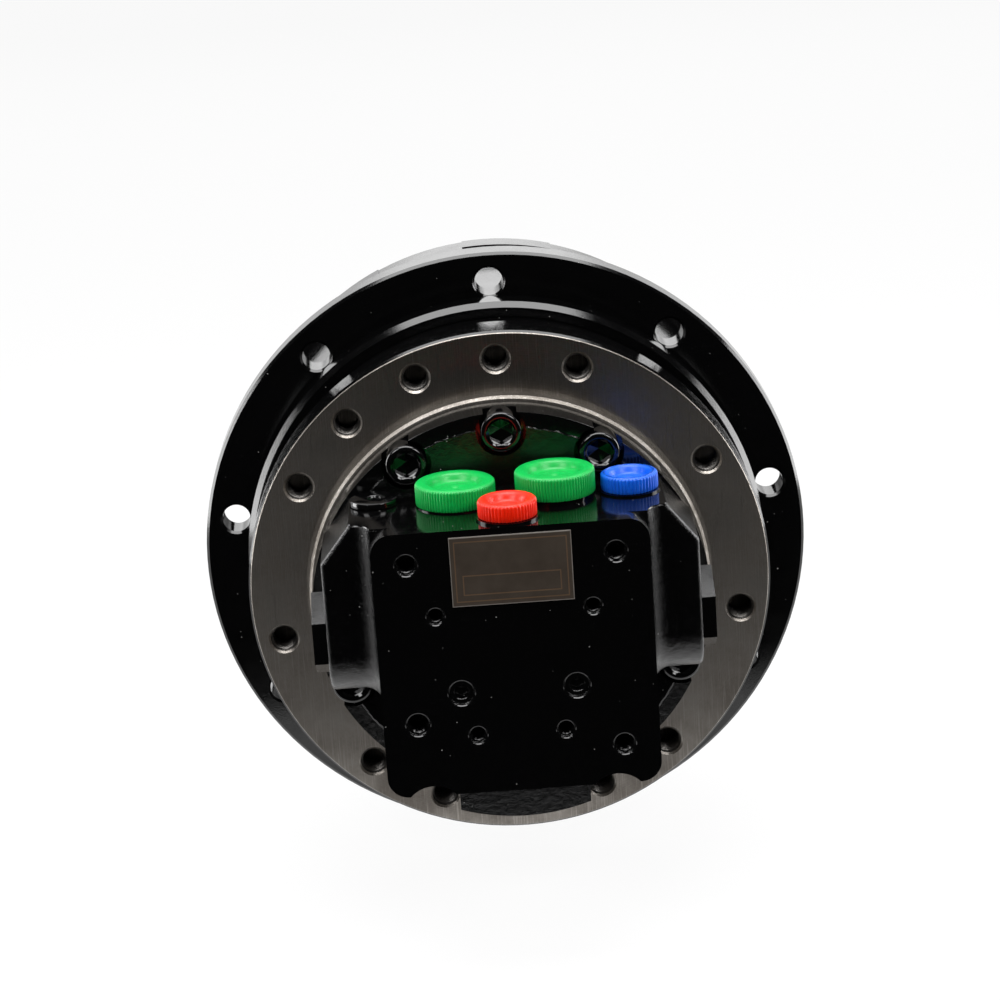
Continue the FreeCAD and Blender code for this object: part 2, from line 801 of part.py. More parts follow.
def valve_plug(side):
    """A hexagon plug that closes one end of the counterbalance valve's bore."""
    seat = side * wing_reach
    inner = seat - side * valve_plug_length
    outer = seat + side * valve_plug_head
    cup_end = inner + side * counter_spring_sink
    thread = crosswise(valve_plug_thread / 2 - thread_play, min(seat, inner), max(seat, inner),
                       valve_axis_y, valve_axis_z)
    points = []
    for corner in range(6):
        angle = math.radians(60 * corner + 30)
        radius = valve_plug_hex / math.sqrt(3)
        points.append(FreeCAD.Vector(seat, valve_axis_y + radius * math.cos(angle),
                                     valve_axis_z + radius * math.sin(angle)))
    head = Part.Face(Part.makePolygon(points + points[:1])).extrude(FreeCAD.Vector(outer - seat, 0, 0))
    cup = crosswise(valve_bore / 2 - 2, min(inner, cup_end), max(inner, cup_end), valve_axis_y, valve_axis_z)
    return thread.fuse(head).cut(cup)


def counterbalance_spool():
    """The spool with its three lands."""
    half = valve_spool_length / 2
    radius = valve_bore / 2 - spool_play
    spool = crosswise(radius, -half, half, valve_axis_y, valve_axis_z)
    for side in (-1, 1):
        start = side * half / 2 - spool_groove_width / 2
        end = start + spool_groove_width
        groove = crosswise(radius, start, end, valve_axis_y, valve_axis_z)
        core = crosswise(radius - spool_groove_depth, start, end, valve_axis_y, valve_axis_z)
        spool = spool.cut(groove.cut(core))
    return spool


def counterbalance_springs():
    half = valve_spool_length / 2
    end = wing_reach - valve_plug_length + counter_spring_sink
    outer_r = valve_bore / 2 - counter_spring_play
    springs = []
    for side in (-1, 1):
        start, stop = sorted((side * (half + spring_gap), side * (end - spring_gap)))
        outer = crosswise(outer_r, start, stop, valve_axis_y, valve_axis_z)
        inner = crosswise(outer_r - counter_spring_wall, start, stop, valve_axis_y, valve_axis_z)
        springs.append(outer.cut(inner))
    return springs


def two_speed_spool():
    radius = speed_spool_diameter / 2
    bottom = speed_spool_top - speed_spool_length
    start = speed_spool_top - speed_groove_end
    end = speed_spool_top - speed_groove_start
    spool = upright(radius, pilot_port_x, pilot_port_y, bottom, speed_spool_top)
    groove = upright(radius, pilot_port_x, pilot_port_y, start, end)
    core = upright(radius - speed_groove_depth, pilot_port_x, pilot_port_y, start, end)
    return spool.cut(groove.cut(core))


def two_speed_spring():
    bottom = speed_bore_end + spring_gap
    top = speed_spool_top - speed_spool_length - spring_gap
    radius = speed_spool_diameter / 2 - speed_spring_play
    outer = upright(radius, pilot_port_x, pilot_port_y, bottom, top)
    return outer.cut(upright(radius - speed_spring_wall, pilot_port_x, pilot_port_y, bottom, top))


def port_cap(x, y, diameter, height, thread, seat_height):
    """A plastic transport cap: knurled head with a sunk top, on a screwed stem."""
    radius = diameter / 2
    bottom = block_top + seat_height
    head = upright(radius, x, y, bottom, bottom + height)
    top_edge = [e for e in head.Edges if e.Closed and abs(e.Vertexes[0].Z - bottom - height) < 1e-6]
    head = head.makeFillet(cap_rounding, top_edge)
    sunk = Part.makeCone(radius * cap_dish_floor, radius * cap_dish_mouth, cap_dish_depth,
                         FreeCAD.Vector(x, y, bottom + height - cap_dish_depth))
    stem = upright(thread / 2 - thread_play, x, y, block_top - cap_stem_length, bottom)
    return head.cut(sunk).fuse(stem)


def front_plug(x):
    """A hexagon-socket plug sunk in the front face."""
    start = front_plug_sink - block_front
    plug = cylinder(front_plug_diameter / 2 - thread_play, start, start + front_plug_length, x, front_plug_z)
    return plug.cut(hexagon(front_plug_hex, start, start + front_plug_socket, x, front_plug_z))


def gauge_plug():
    """The low round plug on the port face."""
    radius = gauge_plug_diameter / 2
    head = upright(radius, gauge_plug_x, gauge_plug_y, block_top, block_top + gauge_plug_height)
    top = [e for e in head.Edges if e.Closed and abs(e.Vertexes[0].Z - block_top - gauge_plug_height) < 1e-6]
    head = head.makeFillet(gauge_plug_round, top)
    stem_r = radius - gauge_plug_shoulder - thread_play
    stem = upright(stem_r, gauge_plug_x, gauge_plug_y, block_top - gauge_plug_depth, block_top)
    socket = hexagon(gauge_plug_hex, 0, 2 * gauge_plug_height)
    socket = socket.rotated(FreeCAD.Vector(0, 0, 0), FreeCAD.Vector(1, 0, 0), 90)
    socket.translate(FreeCAD.Vector(gauge_plug_x, gauge_plug_y, block_top + 1 - gauge_plug_height))
    return head.fuse(stem).cut(socket)


def name_plate():
    half = plate_width / 2
    bottom = plate_centre_z - plate_height / 2
    return box(-half, half, -block_front - plate_thickness, -block_front, bottom, bottom + plate_height)


# ---- hub, ring gear and cover -----------------------------------------------------------------
def hub():
    """The turning housing with the sprocket flange."""
    boss_r = boss_diameter / 2
    flange_r = flange_diameter / 2
    barrel_r = barrel_diameter / 2
    bore_r = bearing_outer / 2
    spigot_r = spigot_diameter / 2
    body = turned([
        (bore_r, hub_front),
        (boss_r - edge_chamfer * 2, hub_front),
        (boss_r, hub_front + edge_chamfer * 2),
        (boss_r, flange_face),
        (flange_r - edge_chamfer, flange_face),
        (flange_r, flange_face + edge_chamfer),
        (flange_r, flange_back - edge_chamfer),
        (flange_r - edge_chamfer, flange_back),
        (barrel_r, flange_back),
        (barrel_r, hub_end - edge_chamfer),
        (barrel_r - edge_chamfer, hub_end),
        (spigot_r, hub_end),
        (spigot_r, hub_end - ring_gear_spigot),
        (bore_r, hub_end - ring_gear_spigot),
        (bore_r, bearing_2_start),
        (hub_rib_bore / 2, bearing_2_start),
        (hub_rib_bore / 2, bearing_1_end),
        (bore_r, bearing_1_end),
    ])
    tools = [tube(seal_groove_inner / 2, seal_groove_outer / 2, hub_front, hub_front + seal_groove_depth)]
    for place in range(sprocket_bolts):
        x, z = on_circle(sprocket_bolt_circle / 2, 360.0 * place / sprocket_bolts)
        tools.append(threaded_hole(sprocket_hole, flange_thickness, x, z, flange_face))
    for place in range(cover_bolts):
        x, z = on_circle(cover_bolt_circle / 2, 360.0 * (place + 0.5) / cover_bolts)
        tools.append(cylinder(cover_bolt_thread / 2, hub_end - cover_bolt_grip - 3, hub_end, x, z))
    return cut_all(body, tools)


def ring_gear():
    """The internal gear of both stages, held between the hub and the cover."""
    outer_r = barrel_diameter / 2
    spigot_r = spigot_diameter / 2 - slip_fit
    rear_r = rear_spigot_diameter / 2 - slip_fit
    start = hub_end - ring_gear_spigot + spigot_end_gap
    body = turned([
        (0, start),
        (spigot_r, start),
        (spigot_r, hub_end),
        (outer_r - edge_chamfer, hub_end),
        (outer_r, hub_end + edge_chamfer),
        (outer_r, ring_gear_end),
        (rear_r, ring_gear_end),
        (rear_r, ring_gear_end + rear_spigot_length),
        (0, ring_gear_end + rear_spigot_length),
    ])
    tools = [internal_gear_tool(ring_teeth, start, ring_gear_end + rear_spigot_length)]
    for place in range(cover_bolts):
        x, z = on_circle(cover_bolt_circle / 2, 360.0 * (place + 0.5) / cover_bolts)
        tools.append(cylinder(cover_bolt_thread / 2 + bolt_hole_play, hub_end, ring_gear_end, x, z))
    return cut_all(body, tools)


def gear_cover():
    """The end cover, with low lobes round its rim, bolt counterbores and plug holes."""
    rim_r = cover_diameter / 2
    seat_r = rear_spigot_diameter / 2
    seat_end = ring_gear_end + rear_spigot_length + spigot_end_gap
    inner_r = ring_pitch_radius + cover_bore_margin
    inner_end = cover_end - cover_wall
    rim_start = ring_gear_end + cover_step
    body = turned([
        (seat_r, ring_gear_end),
        (barrel_diameter / 2, ring_gear_end),
        (barrel_diameter / 2, rim_start),
        (rim_r, rim_start),
        (rim_r, rim_start + cover_land - 2),
        (rim_r - cover_slope, cover_end),
        (0, cover_end),
        (0, sun_1_end + running_fit),
        (thrust_pad_diameter / 2, sun_1_end + running_fit),
        (thrust_pad_diameter / 2, inner_end),
        (inner_r, inner_end),
        (inner_r, seat_end),
        (seat_r, seat_end),
    ])
    lobes = []
    for place in range(cover_lobes):
        start = cover_first_lobe - cover_lobe_width / 2 + 360.0 * place / cover_lobes
        sector = Part.makeCylinder(rim_r + cover_lobe_height, cover_land - 4,
                                   FreeCAD.Vector(0, rim_start + 1, 0),
                                   FreeCAD.Vector(0, 1, 0), cover_lobe_width)
        core = cylinder(rim_r - 4, rim_start, cover_end)
        lobes.append(turn(sector.cut(core), start))
    tools = []
    for place in range(cover_bolts):
        x, z = on_circle(cover_bolt_circle / 2, 360.0 * (place + 0.5) / cover_bolts)
        tools.append(cylinder(cover_bolt_thread / 2 + bolt_hole_play, ring_gear_end, cover_end, x, z))
        tools.append(cylinder(cover_bolt_recess / 2, cover_end - cover_bolt_sink, cover_end, x, z))
    for clock in cover_plug_angles:
        x, z = on_circle(cover_plug_circle / 2, clock)
        tools.append(cylinder(cover_plug_thread / 2, inner_end, cover_end, x, z))
    return cut_all(body.multiFuse(lobes), tools)


def gear_cover_bolts():
    bolts = []
    for place in range(cover_bolts):
        x, z = on_circle(cover_bolt_circle / 2, 360.0 * (place + 0.5) / cover_bolts)
        seat = cover_end - cover_bolt_sink
        bolts.append(cap_screw(cover_bolt_thread - 2 * thread_play, cover_bolt_head, cover_bolt_thread,
                               seat - hub_end + cover_bolt_grip, cover_bolt_socket, seat, -1, x, z))
    return bolts


def gear_cover_plugs():
    plugs = []
    top = cover_end + cover_plug_head_height
    for clock in cover_plug_angles:
        x, z = on_circle(cover_plug_circle / 2, clock)
        stem = cylinder(cover_plug_thread / 2 - thread_play, cover_end - cover_wall, cover_end, x, z)
        head = cylinder(cover_plug_head / 2, cover_end, top, x, z)
        plugs.append(stem.fuse(head).cut(hexagon(cover_plug_hex, cover_end - cover_plug_socket, top, x, z)))
    return plugs


# ---- bearings and seals -----------------------------------------------------------------------
def main_bearing(start, direction):
    """Inner race, outer race and rollers of a tapered roller bearing.

    Direction +1 opens the cone towards +Y. The races' faces follow the rollers' cone."""
    inner_r = neck_diameter / 2
    outer_r = bearing_outer / 2
    middle_r = (inner_r + outer_r) / 2
    end = start + bearing_width
    middle_y = (start + end) / 2
    gap = roller_diameter / 2 + running_fit
    inner_slope = math.tan(math.radians(roller_tilt - roller_taper)) * direction
    outer_slope = math.tan(math.radians(roller_tilt + roller_taper)) * direction
    inner_mid = middle_r - gap / math.cos(math.radians(roller_tilt))
    outer_mid = middle_r + gap / math.cos(math.radians(roller_tilt))
    half = bearing_width / 2
    inner = turned([
        (inner_r, start), (inner_r, end),
        (inner_mid + inner_slope * half, end), (inner_mid - inner_slope * half, start),
    ])
    outer = turned([
        (outer_r, start), (outer_r, end),
        (outer_mid + outer_slope * half, end), (outer_mid - outer_slope * half, start),
    ])
    change = math.tan(math.radians(roller_taper)) * roller_length / 2
    radius = roller_diameter / 2
    roller = Part.makeCone(radius - change * direction, radius + change * direction, roller_length,
                           FreeCAD.Vector(0, -roller_length / 2, 0), FreeCAD.Vector(0, 1, 0))
    roller = roller.rotated(FreeCAD.Vector(0, 0, 0), FreeCAD.Vector(1, 0, 0), roller_tilt * direction)
    roller.translate(FreeCAD.Vector(0, middle_y, middle_r))
    rollers = [turn(roller, 360.0 * place / bearing_rollers) for place in range(bearing_rollers)]
    return inner, outer, rollers


def bearing_nut():
    nut = tube(neck_diameter / 2, nut_diameter / 2, bearing_2_end, bearing_2_end + nut_width)
    slot = box(-nut_slot_width / 2, nut_slot_width / 2, bearing_2_end, bearing_2_end + nut_width,
               nut_diameter / 2 - nut_slot_depth, nut_diameter / 2)
    return cut_all(nut, [turn(slot, 360.0 * place / nut_slots) for place in range(nut_slots)])


def face_seal_ring(side):
    """One lapped metal ring; side -1 sits in the spindle, +1 in the hub."""
    face = (collar_end + hub_front) / 2
    inner = seal_ring_inner / 2
    lip = face + side * seal_face_gap
    return turned([
        (inner, lip),
        (inner + seal_lip_width, lip),
        (inner + seal_lip_width, lip + side * seal_lip_depth),
        (inner + seal_ring_thickness, lip + side * seal_taper_end),
        (inner + seal_ring_thickness, lip + side * seal_ring_depth),
        (inner, lip + side * seal_ring_depth),
    ])


def toric_ring(side):
    """The rubber ring that presses a seal ring against the other."""
    face = (collar_end + hub_front) / 2
    radius = (seal_ring_inner / 2 + seal_ring_thickness + seal_groove_outer / 2) / 2
    size = (seal_groove_outer / 2 - seal_ring_inner / 2 - seal_ring_thickness) / 2
    centre = FreeCAD.Vector(0, face + side * toric_depth, 0)
    return Part.makeTorus(radius, size - toric_play, centre, FreeCAD.Vector(0, 1, 0))


def shaft_bearing():
    """Inner race, outer race and balls of the shaft's main bearing."""
    end = shaft_bearing_end
    start = end - shaft_bearing_width
    inner_r = shaft_diameter / 2
    outer_r = shaft_bearing_outer / 2
    middle_r = (inner_r + outer_r) / 2
    middle_y = (start + end) / 2
    groove = Part.makeTorus(middle_r, shaft_ball / 2 + running_fit, FreeCAD.Vector(0, middle_y, 0),
                            FreeCAD.Vector(0, 1, 0))
    inner = tube(inner_r, middle_r - race_gap, start, end).cut(groove)
    outer = tube(middle_r + race_gap, outer_r, start, end).cut(groove)
    balls = []
    for place in range(shaft_bearing_balls):
        x, z = on_circle(middle_r, 360.0 * place / shaft_bearing_balls)
        balls.append(Part.makeSphere(shaft_ball / 2, FreeCAD.Vector(x, middle_y, z)))
    return inner, outer, balls


def needle_bearing():
    end = cover_face - 1
    return tube(shaft_tail / 2 + running_fit, needle_bearing_outer / 2, end - needle_bearing_width, end)


def shaft_seal():
    end = shaft_seal_start + seal_width
    return tube(spline_radius + seal_lip_play, seal_outer / 2, shaft_seal_start, end)


# ---- travel motor -----------------------------------------------------------------------------
def drive_shaft():
    """The motor shaft, splined under the cylinder barrel and at its output end."""
    joint = sun_shaft_joint
    shaft_r = shaft_diameter / 2
    tail_end = cover_face - 1 - needle_bearing_width
    body = turned([
        (0, tail_end),
        (shaft_tail / 2 - 1, tail_end),
        (shaft_tail / 2, tail_end + 1),
        (shaft_tail / 2, barrel_start),
        (shaft_r, barrel_start),
        (shaft_r, joint),
        (0, joint),
    ])
    barrel_spline = spline(shaft_r, spline_radius, barrel_start, barrel_end)
    end_spline = spline(shaft_r - spline_height, shaft_r, joint, joint + sun_spline_length)
    return body.fuse(barrel_spline).fuse(end_spline)


def cylinder_barrel():
    """The rotating barrel with its nine bores, splined to the shaft."""
    barrel = cylinder(barrel_diameter_motor / 2, barrel_start, barrel_end)
    tools = [spline(shaft_diameter / 2, spline_radius, barrel_start, barrel_end, spline_play)]
    for place in range(pistons):
        x, z = on_circle(piston_circle / 2, 360.0 * place / pistons)
        floor = barrel_start + barrel_floor
        tools.append(cylinder(piston_diameter / 2 + piston_play, floor, barrel_end, x, z))
        tools.append(cylinder(kidney_width / 2, barrel_start, floor, x, z))
    return cut_all(barrel, tools)


def valve_plate():
    """The port plate between the block and the barrel, with its two kidney ports."""
    plate = tube(needle_bearing_outer / 2 - 1, barrel_diameter_motor / 2, cover_face,
                 cover_face + valve_plate_thickness)
    outer = (piston_circle + kidney_width) / 2
    inner = (piston_circle - kidney_width) / 2
    for side in (-1, 1):
        sector = Part.makeCylinder(outer, valve_plate_thickness, FreeCAD.Vector(0, cover_face, 0),
                                   FreeCAD.Vector(0, 1, 0), kidney_span)
        kidney = sector.cut(cylinder(inner, cover_face, cover_face + valve_plate_thickness))
        plate = plate.cut(turn(kidney, 90 * side - 90 - kidney_span / 2))
    return plate


def swash_height(z):
    """Where the running face stands at a height z."""
    return swash_centre + z * math.tan(math.radians(swash_angle))


def tilt(shape):
    """Lay a shape made square to the drive axis about the running face onto the tilted face."""
    centre = FreeCAD.Vector(0, swash_centre, 0)
    return shape.rotated(centre, FreeCAD.Vector(1, 0, 0), -swash_angle)


def swash_plate():
    """The tilting plate: running face, a back with two facets, ball seats and a shaft hole."""
    back = end_wall_face - running_fit
    reach = swash_diameter / 2
    body = cylinder(reach, swash_centre - reach / 2, back)
    slab = tilt(box(-2 * reach, 2 * reach, swash_centre - 2 * reach, swash_centre, -2 * reach, 2 * reach))
    relief = 2 * reach * math.tan(math.radians(swash_travel))
    wedge = Part.Face(Part.makePolygon([
        FreeCAD.Vector(-2 * reach, back, 0),
        FreeCAD.Vector(-2 * reach, back - relief, -2 * reach),
        FreeCAD.Vector(-2 * reach, back + 1, -2 * reach),
        FreeCAD.Vector(-2 * reach, back + 1, 0),
        FreeCAD.Vector(-2 * reach, back, 0),
    ])).extrude(FreeCAD.Vector(4 * reach, 0, 0))
    tools = [slab, wedge, cylinder(swash_bore / 2, swash_centre - reach, back)]
    for side in (-1, 1):
        centre = FreeCAD.Vector(side * pivot_spacing / 2, end_wall_face, 0)
        tools.append(Part.makeSphere(pivot_ball / 2 + running_fit, centre))
    return cut_all(body, tools)


def pivot_balls():
    centres = [FreeCAD.Vector(side * pivot_spacing / 2, end_wall_face, 0) for side in (-1, 1)]
    return [Part.makeSphere(pivot_ball / 2 - pivot_play, centre) for centre in centres]


def shoe_places():
    """The ball centre (x, y, z) of each piston."""
    places = []
    offset = shoe_ball_height / math.cos(math.radians(swash_angle))
    for place in range(pistons):
        x, z = on_circle(piston_circle / 2, 360.0 * place / pistons)
        places.append((x, swash_height(z) - offset, z))
    return places


def on_running_face(ball_y, z):
    """How far up the tilted running face a ball's slipper stands."""
    along = z / math.cos(math.radians(swash_angle))
    return along - (swash_height(z) - ball_y) * math.sin(math.radians(swash_angle))


def piston_set():
    """Nine pistons, each with its ball end."""
    shapes = []
    for x, ball_y, z in shoe_places():
        start = ball_y - piston_length
        shoulder = ball_y - piston_ball / 2 - piston_neck_gap
        body = cylinder(piston_diameter / 2, start, shoulder, x, z)
        neck = cylinder(piston_neck / 2, shoulder - 1, ball_y, x, z)
        ball = Part.makeSphere(piston_ball / 2, FreeCAD.Vector(x, ball_y, z))
        hollow = cylinder(piston_hollow / 2, start, start + piston_hollow_depth, x, z)
        shapes.append(body.multiFuse([neck, ball]).cut(hollow))
    return shapes


def piston_shoes():
    """Nine slippers: a flat pad on the running face and a socket round the ball."""
    shapes = []
    face = swash_centre - running_fit
    pad_end = face - shoe_pad
    for x, ball_y, z in shoe_places():
        along = on_running_face(ball_y, z)
        pad = cylinder(shoe_flange / 2, pad_end, face, x, along)
        body = cylinder(shoe_body / 2, swash_centre - shoe_height, pad_end, x, along)
        shoe = tilt(pad.fuse(body))
        socket = Part.makeSphere(piston_ball / 2 + ball_play, FreeCAD.Vector(x, ball_y, z))
        mouth = Part.makeCone(shoe_mouth / 2, shoe_throat / 2, shoe_mouth_depth,
                              FreeCAD.Vector(x, ball_y - shoe_mouth_start, z), FreeCAD.Vector(0, 1, 0))
        shapes.append(shoe.cut(socket).cut(mouth))
    return shapes


def retainer_plate():
    """The plate that holds the slippers down, with a hole for each."""
    start = swash_centre - 2 * running_fit - shoe_pad - retainer_thickness
    end = start + retainer_thickness
    plate = tube(guide_diameter / 2 + guide_play, retainer_diameter / 2, start, end)
    tools = []
    for x, ball_y, z in shoe_places():
        tools.append(cylinder(shoe_body / 2 + shoe_play, start, end, x, on_running_face(ball_y, z)))
    return tilt(cut_all(plate, tools))


def retainer_guide():
    """The half ball on the shaft that carries the retainer plate."""
    ball = Part.makeSphere(guide_diameter / 2, FreeCAD.Vector(0, guide_centre, 0))
    ball = ball.common(cylinder(guide_diameter, barrel_end + 1, guide_cut))
    return ball.cut(cylinder(shaft_diameter / 2 + slip_fit, barrel_end, guide_cut))


def control_piston():
    """The two-speed piston that pushes the swash plate's upper half."""
    radius = control_piston_diameter / 2
    nose = end_wall_face + radius
    body = cylinder(radius, nose, end_wall_face + control_piston_length, 0, control_piston_radius)
    tip = Part.makeSphere(radius, FreeCAD.Vector(0, nose, control_piston_radius))
    return body.fuse(tip)


# ---- parking brake ----------------------------------------------------------------------------
def brake_pack():
    """Friction discs, steel plates and where the stack ends towards the piston."""
    y = cover_face + brake_bore_depth - brake_face_gap
    discs = []
    plates = []
    for layer in range(2 * friction_discs + 1):
        if layer % 2 == 0:
            plates.append(tube(steel_inner / 2, brake_bore / 2 - slip_fit, y - steel_thickness, y))
            y -= steel_thickness + disc_gap
        else:
            discs.append(tube(friction_inner / 2, friction_outer / 2, y - friction_thickness, y))
            y -= friction_thickness + disc_gap
    return discs, plates, y


def brake_piston():
    end = brake_pack()[2]
    outer = brake_bore / 2 - slip_fit
    piston = tube(brake_piston_inner / 2, outer, end - brake_piston_length, end)
    tools = []
    for place in range(brake_springs):
        x, z = on_circle(brake_spring_circle / 2, 360.0 * (place + 0.5) / brake_springs)
        start = end - brake_piston_length
        tools.append(cylinder(brake_spring_diameter / 2 + brake_spring_play,
                              start, start + brake_spring_seat, x, z))
    return cut_all(piston, tools)


def brake_spring_set():
    start = cover_face - brake_spring_pocket + brake_face_gap
    stop = brake_pack()[2] - brake_piston_length + brake_spring_seat - brake_face_gap
    springs = []
    for place in range(brake_springs):
        x, z = on_circle(brake_spring_circle / 2, 360.0 * (place + 0.5) / brake_springs)
        springs.append(tube(brake_spring_diameter / 2 - brake_spring_wall, brake_spring_diameter / 2,
                            start, stop, x, z))
    return springs


# ---- reduction gears --------------------------------------------------------------------------
def sun_gear_1():
    """The input pinion: a shaft with a splined cup at one end and the first sun at the other."""
    joint = sun_shaft_joint
    cup = cylinder(sun_cup_diameter / 2, joint, joint + sun_cup_length)
    stem = cylinder(sun_stem_diameter / 2, joint + sun_cup_length, stage_1_start)
    teeth = external_gear(sun_1_teeth, stage_1_start - 1, sun_1_end, 0.0)
    shape = cup.multiFuse([stem, teeth])
    shaft_r = shaft_diameter / 2
    socket_end = joint + sun_spline_length + sun_end_play
    return shape.cut(spline(shaft_r - spline_height, shaft_r, joint, socket_end, spline_play))


def sun_gear_2():
    """The second sun, a sleeve splined into the first carrier."""
    pitch_radius = gear_module * sun_2_teeth / 2
    phase = -180.0 / sun_2_teeth
    teeth = external_gear(sun_2_teeth, stage_2_start, stage_2_end, phase)
    root = pitch_radius - dedendum * gear_module
    neck = spline(root - spline_height, root, stage_2_end, carrier_start + carrier_plate)
    return teeth.fuse(neck).cut(cylinder(sun_2_bore / 2, stage_2_start, carrier_start + carrier_plate))


def carrier_1():
    """The first carrier: a three-armed plate with pin holes and a splined bore."""
    root = gear_module * sun_2_teeth / 2 - dedendum * gear_module
    end = carrier_start + carrier_plate
    disc = cylinder(root + carrier_rim, carrier_start, end)
    arms = []
    tools = [spline(root - spline_height, root, carrier_start, end, spline_play)]
    for place in range(planets_1):
        clock = 360.0 * place / planets_1
        x, z = on_circle(planet_1_radius, clock)
        arms.append(cylinder(planet_pin_1 / 2 + carrier_boss, carrier_start, end, x, z))
        web = box(-carrier_arm_width / 2, carrier_arm_width / 2, carrier_start, end, 0, planet_1_radius)
        arms.append(turn(web, clock))
        tools.append(cylinder(planet_pin_1 / 2, carrier_start, end, x, z))
    return cut_all(disc.multiFuse(arms).removeSplitter(), tools)


def planet_gear(teeth, place, count, radius, y_from, y_to, bore):
    clock = 360.0 * place / count
    x, z = on_circle(radius, clock)
    gear = external_gear(teeth, y_from, y_to, planet_phase(teeth, clock))
    gear = gear.cut(cylinder(bore, y_from, y_to))
    return gear.translated(FreeCAD.Vector(x, 0, z))


def carrier_1_pins():
    """Pins fixed in the carrier, each with a head that keeps its planet on."""
    pins = []
    for place in range(planets_1):
        x, z = on_circle(planet_1_radius, 360.0 * place / planets_1)
        start = stage_1_end + pin_head_gap
        pin = cylinder(planet_pin_1 / 2, carrier_start, start, x, z)
        head = cylinder(planet_pin_1 / 2 + pin_head_reach, start, start + pin_head_1, x, z)
        pins.append(pin.fuse(head))
    return pins


def needle_sets(count, radius, pin, y_from, y_to):
    sets = []
    for place in range(count):
        x, z = on_circle(radius, 360.0 * place / count)
        sets.append(tube(pin / 2 + slip_fit, pin / 2 + needle_thickness, y_from, y_to, x, z))
    return sets


def stage_2_pins():
    pins = []
    for place in range(planets_2):
        x, z = on_circle(planet_2_radius, 360.0 * place / planets_2)
        start = stage_2_end + pin_head_gap
        pin = cylinder(planet_pin_2 / 2, neck_end - pin_depth_2, start, x, z)
        head = cylinder(planet_pin_2 / 2 + pin_head_reach, start, start + pin_head_2, x, z)
        pins.append(pin.fuse(head))
    return pins


def build():
    os.makedirs("parts", exist_ok=True)
    save("spindle", spindle())
    save("rear_cover", rear_cover())
    save("rear_cover_screws", *rear_cover_screws())
    save("counterbalance_plugs", valve_plug(-1), valve_plug(1))
    save("counterbalance_spool", counterbalance_spool())
    save("counterbalance_springs", *counterbalance_springs())
    save("two_speed_spool", two_speed_spool())
    save("two_speed_spring", two_speed_spring())
    save("gallery_plugs", front_plug(-front_plug_x), front_plug(front_plug_x), gauge_plug())
    save("name_plate", name_plate())

    save("port_cap_left", port_cap(-main_port_x, main_port_y, main_cap_diameter, left_cap_height,
                                   main_port_thread, main_seat_height))
    save("port_cap_right", port_cap(main_port_x, main_port_y, main_cap_diameter, right_cap_height,
                                    main_port_thread, tall_seat_height))
    save("drain_port_cap", port_cap(0, drain_port_y, drain_cap_diameter, drain_cap_height,
                                    drain_port_thread, drain_seat_height))
    save("pilot_port_cap", port_cap(pilot_port_x, pilot_port_y, pilot_cap_diameter, pilot_cap_height,
                                    pilot_port_thread, pilot_seat_height))

    save("hub", hub())
    save("ring_gear", ring_gear())
    save("gear_cover", gear_cover())
    save("gear_cover_bolts", *gear_cover_bolts())
    save("gear_cover_plugs", *gear_cover_plugs())

    inner_1, outer_1, rollers_1 = main_bearing(bearing_1_start, -1)
    inner_2, outer_2, rollers_2 = main_bearing(bearing_2_start, 1)
    save("main_bearing_inner", inner_1, inner_2)
    save("main_bearing_outer", outer_1, outer_2)
    save("main_bearing_rollers", *rollers_1, *rollers_2)
    save("bearing_nut", bearing_nut())
    for name, side in (("fixed", -1), ("turning", 1)):
        save("face_seal_ring_" + name, face_seal_ring(side))
        save("toric_ring_" + name, toric_ring(side))

    inner, outer, balls = shaft_bearing()
    save("shaft_bearing_inner", inner)
    save("shaft_bearing_outer", outer)
    save("shaft_bearing_balls", *balls)
    save("shaft_needle_bearing", needle_bearing())
    save("shaft_seal", shaft_seal())

    save("drive_shaft", drive_shaft())
    save("cylinder_barrel", cylinder_barrel())
    save("valve_plate", valve_plate())
    save("swash_plate", swash_plate())
    save("swash_pivot_balls", *pivot_balls())
    save("pistons", *piston_set())
    save("piston_shoes", *piston_shoes())
    save("retainer_plate", retainer_plate())
    save("retainer_guide", retainer_guide())
    save("control_piston", control_piston())

    discs, plates = brake_pack()[:2]
    save("brake_friction_discs", *discs)
    save("brake_steel_plates", *plates)
    save("brake_piston", brake_piston())
    save("brake_springs", *brake_spring_set())

    save("sun_gear_1", sun_gear_1())
    save("sun_gear_2", sun_gear_2())
    save("carrier_1", carrier_1())
    save("carrier_1_pins", *carrier_1_pins())
    save("planet_1_needles",
         *needle_sets(planets_1, planet_1_radius, planet_pin_1, stage_1_start, stage_1_end))
    bore_1 = planet_pin_1 / 2 + needle_thickness + slip_fit
    for place in range(planets_1):
        save("planet_gear_1" + "abc"[place], planet_gear(
            planet_1_teeth, place, planets_1, planet_1_radius, stage_1_start, stage_1_end, bore_1))
    save("stage_2_pins", *stage_2_pins())
    save("planet_2_needles",
         *needle_sets(planets_2, planet_2_radius, planet_pin_2, stage_2_start, stage_2_end))
    bore_2 = planet_pin_2 / 2 + needle_thickness + slip_fit
    for place in range(planets_2):
        save("planet_gear_2" + "abcd"[place], planet_gear(
            planet_2_teeth, place, planets_2, planet_2_radius, stage_2_start, stage_2_end, bore_2))


build()
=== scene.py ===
import math

import bpy
import numpy as np
from mathutils import Matrix, Vector


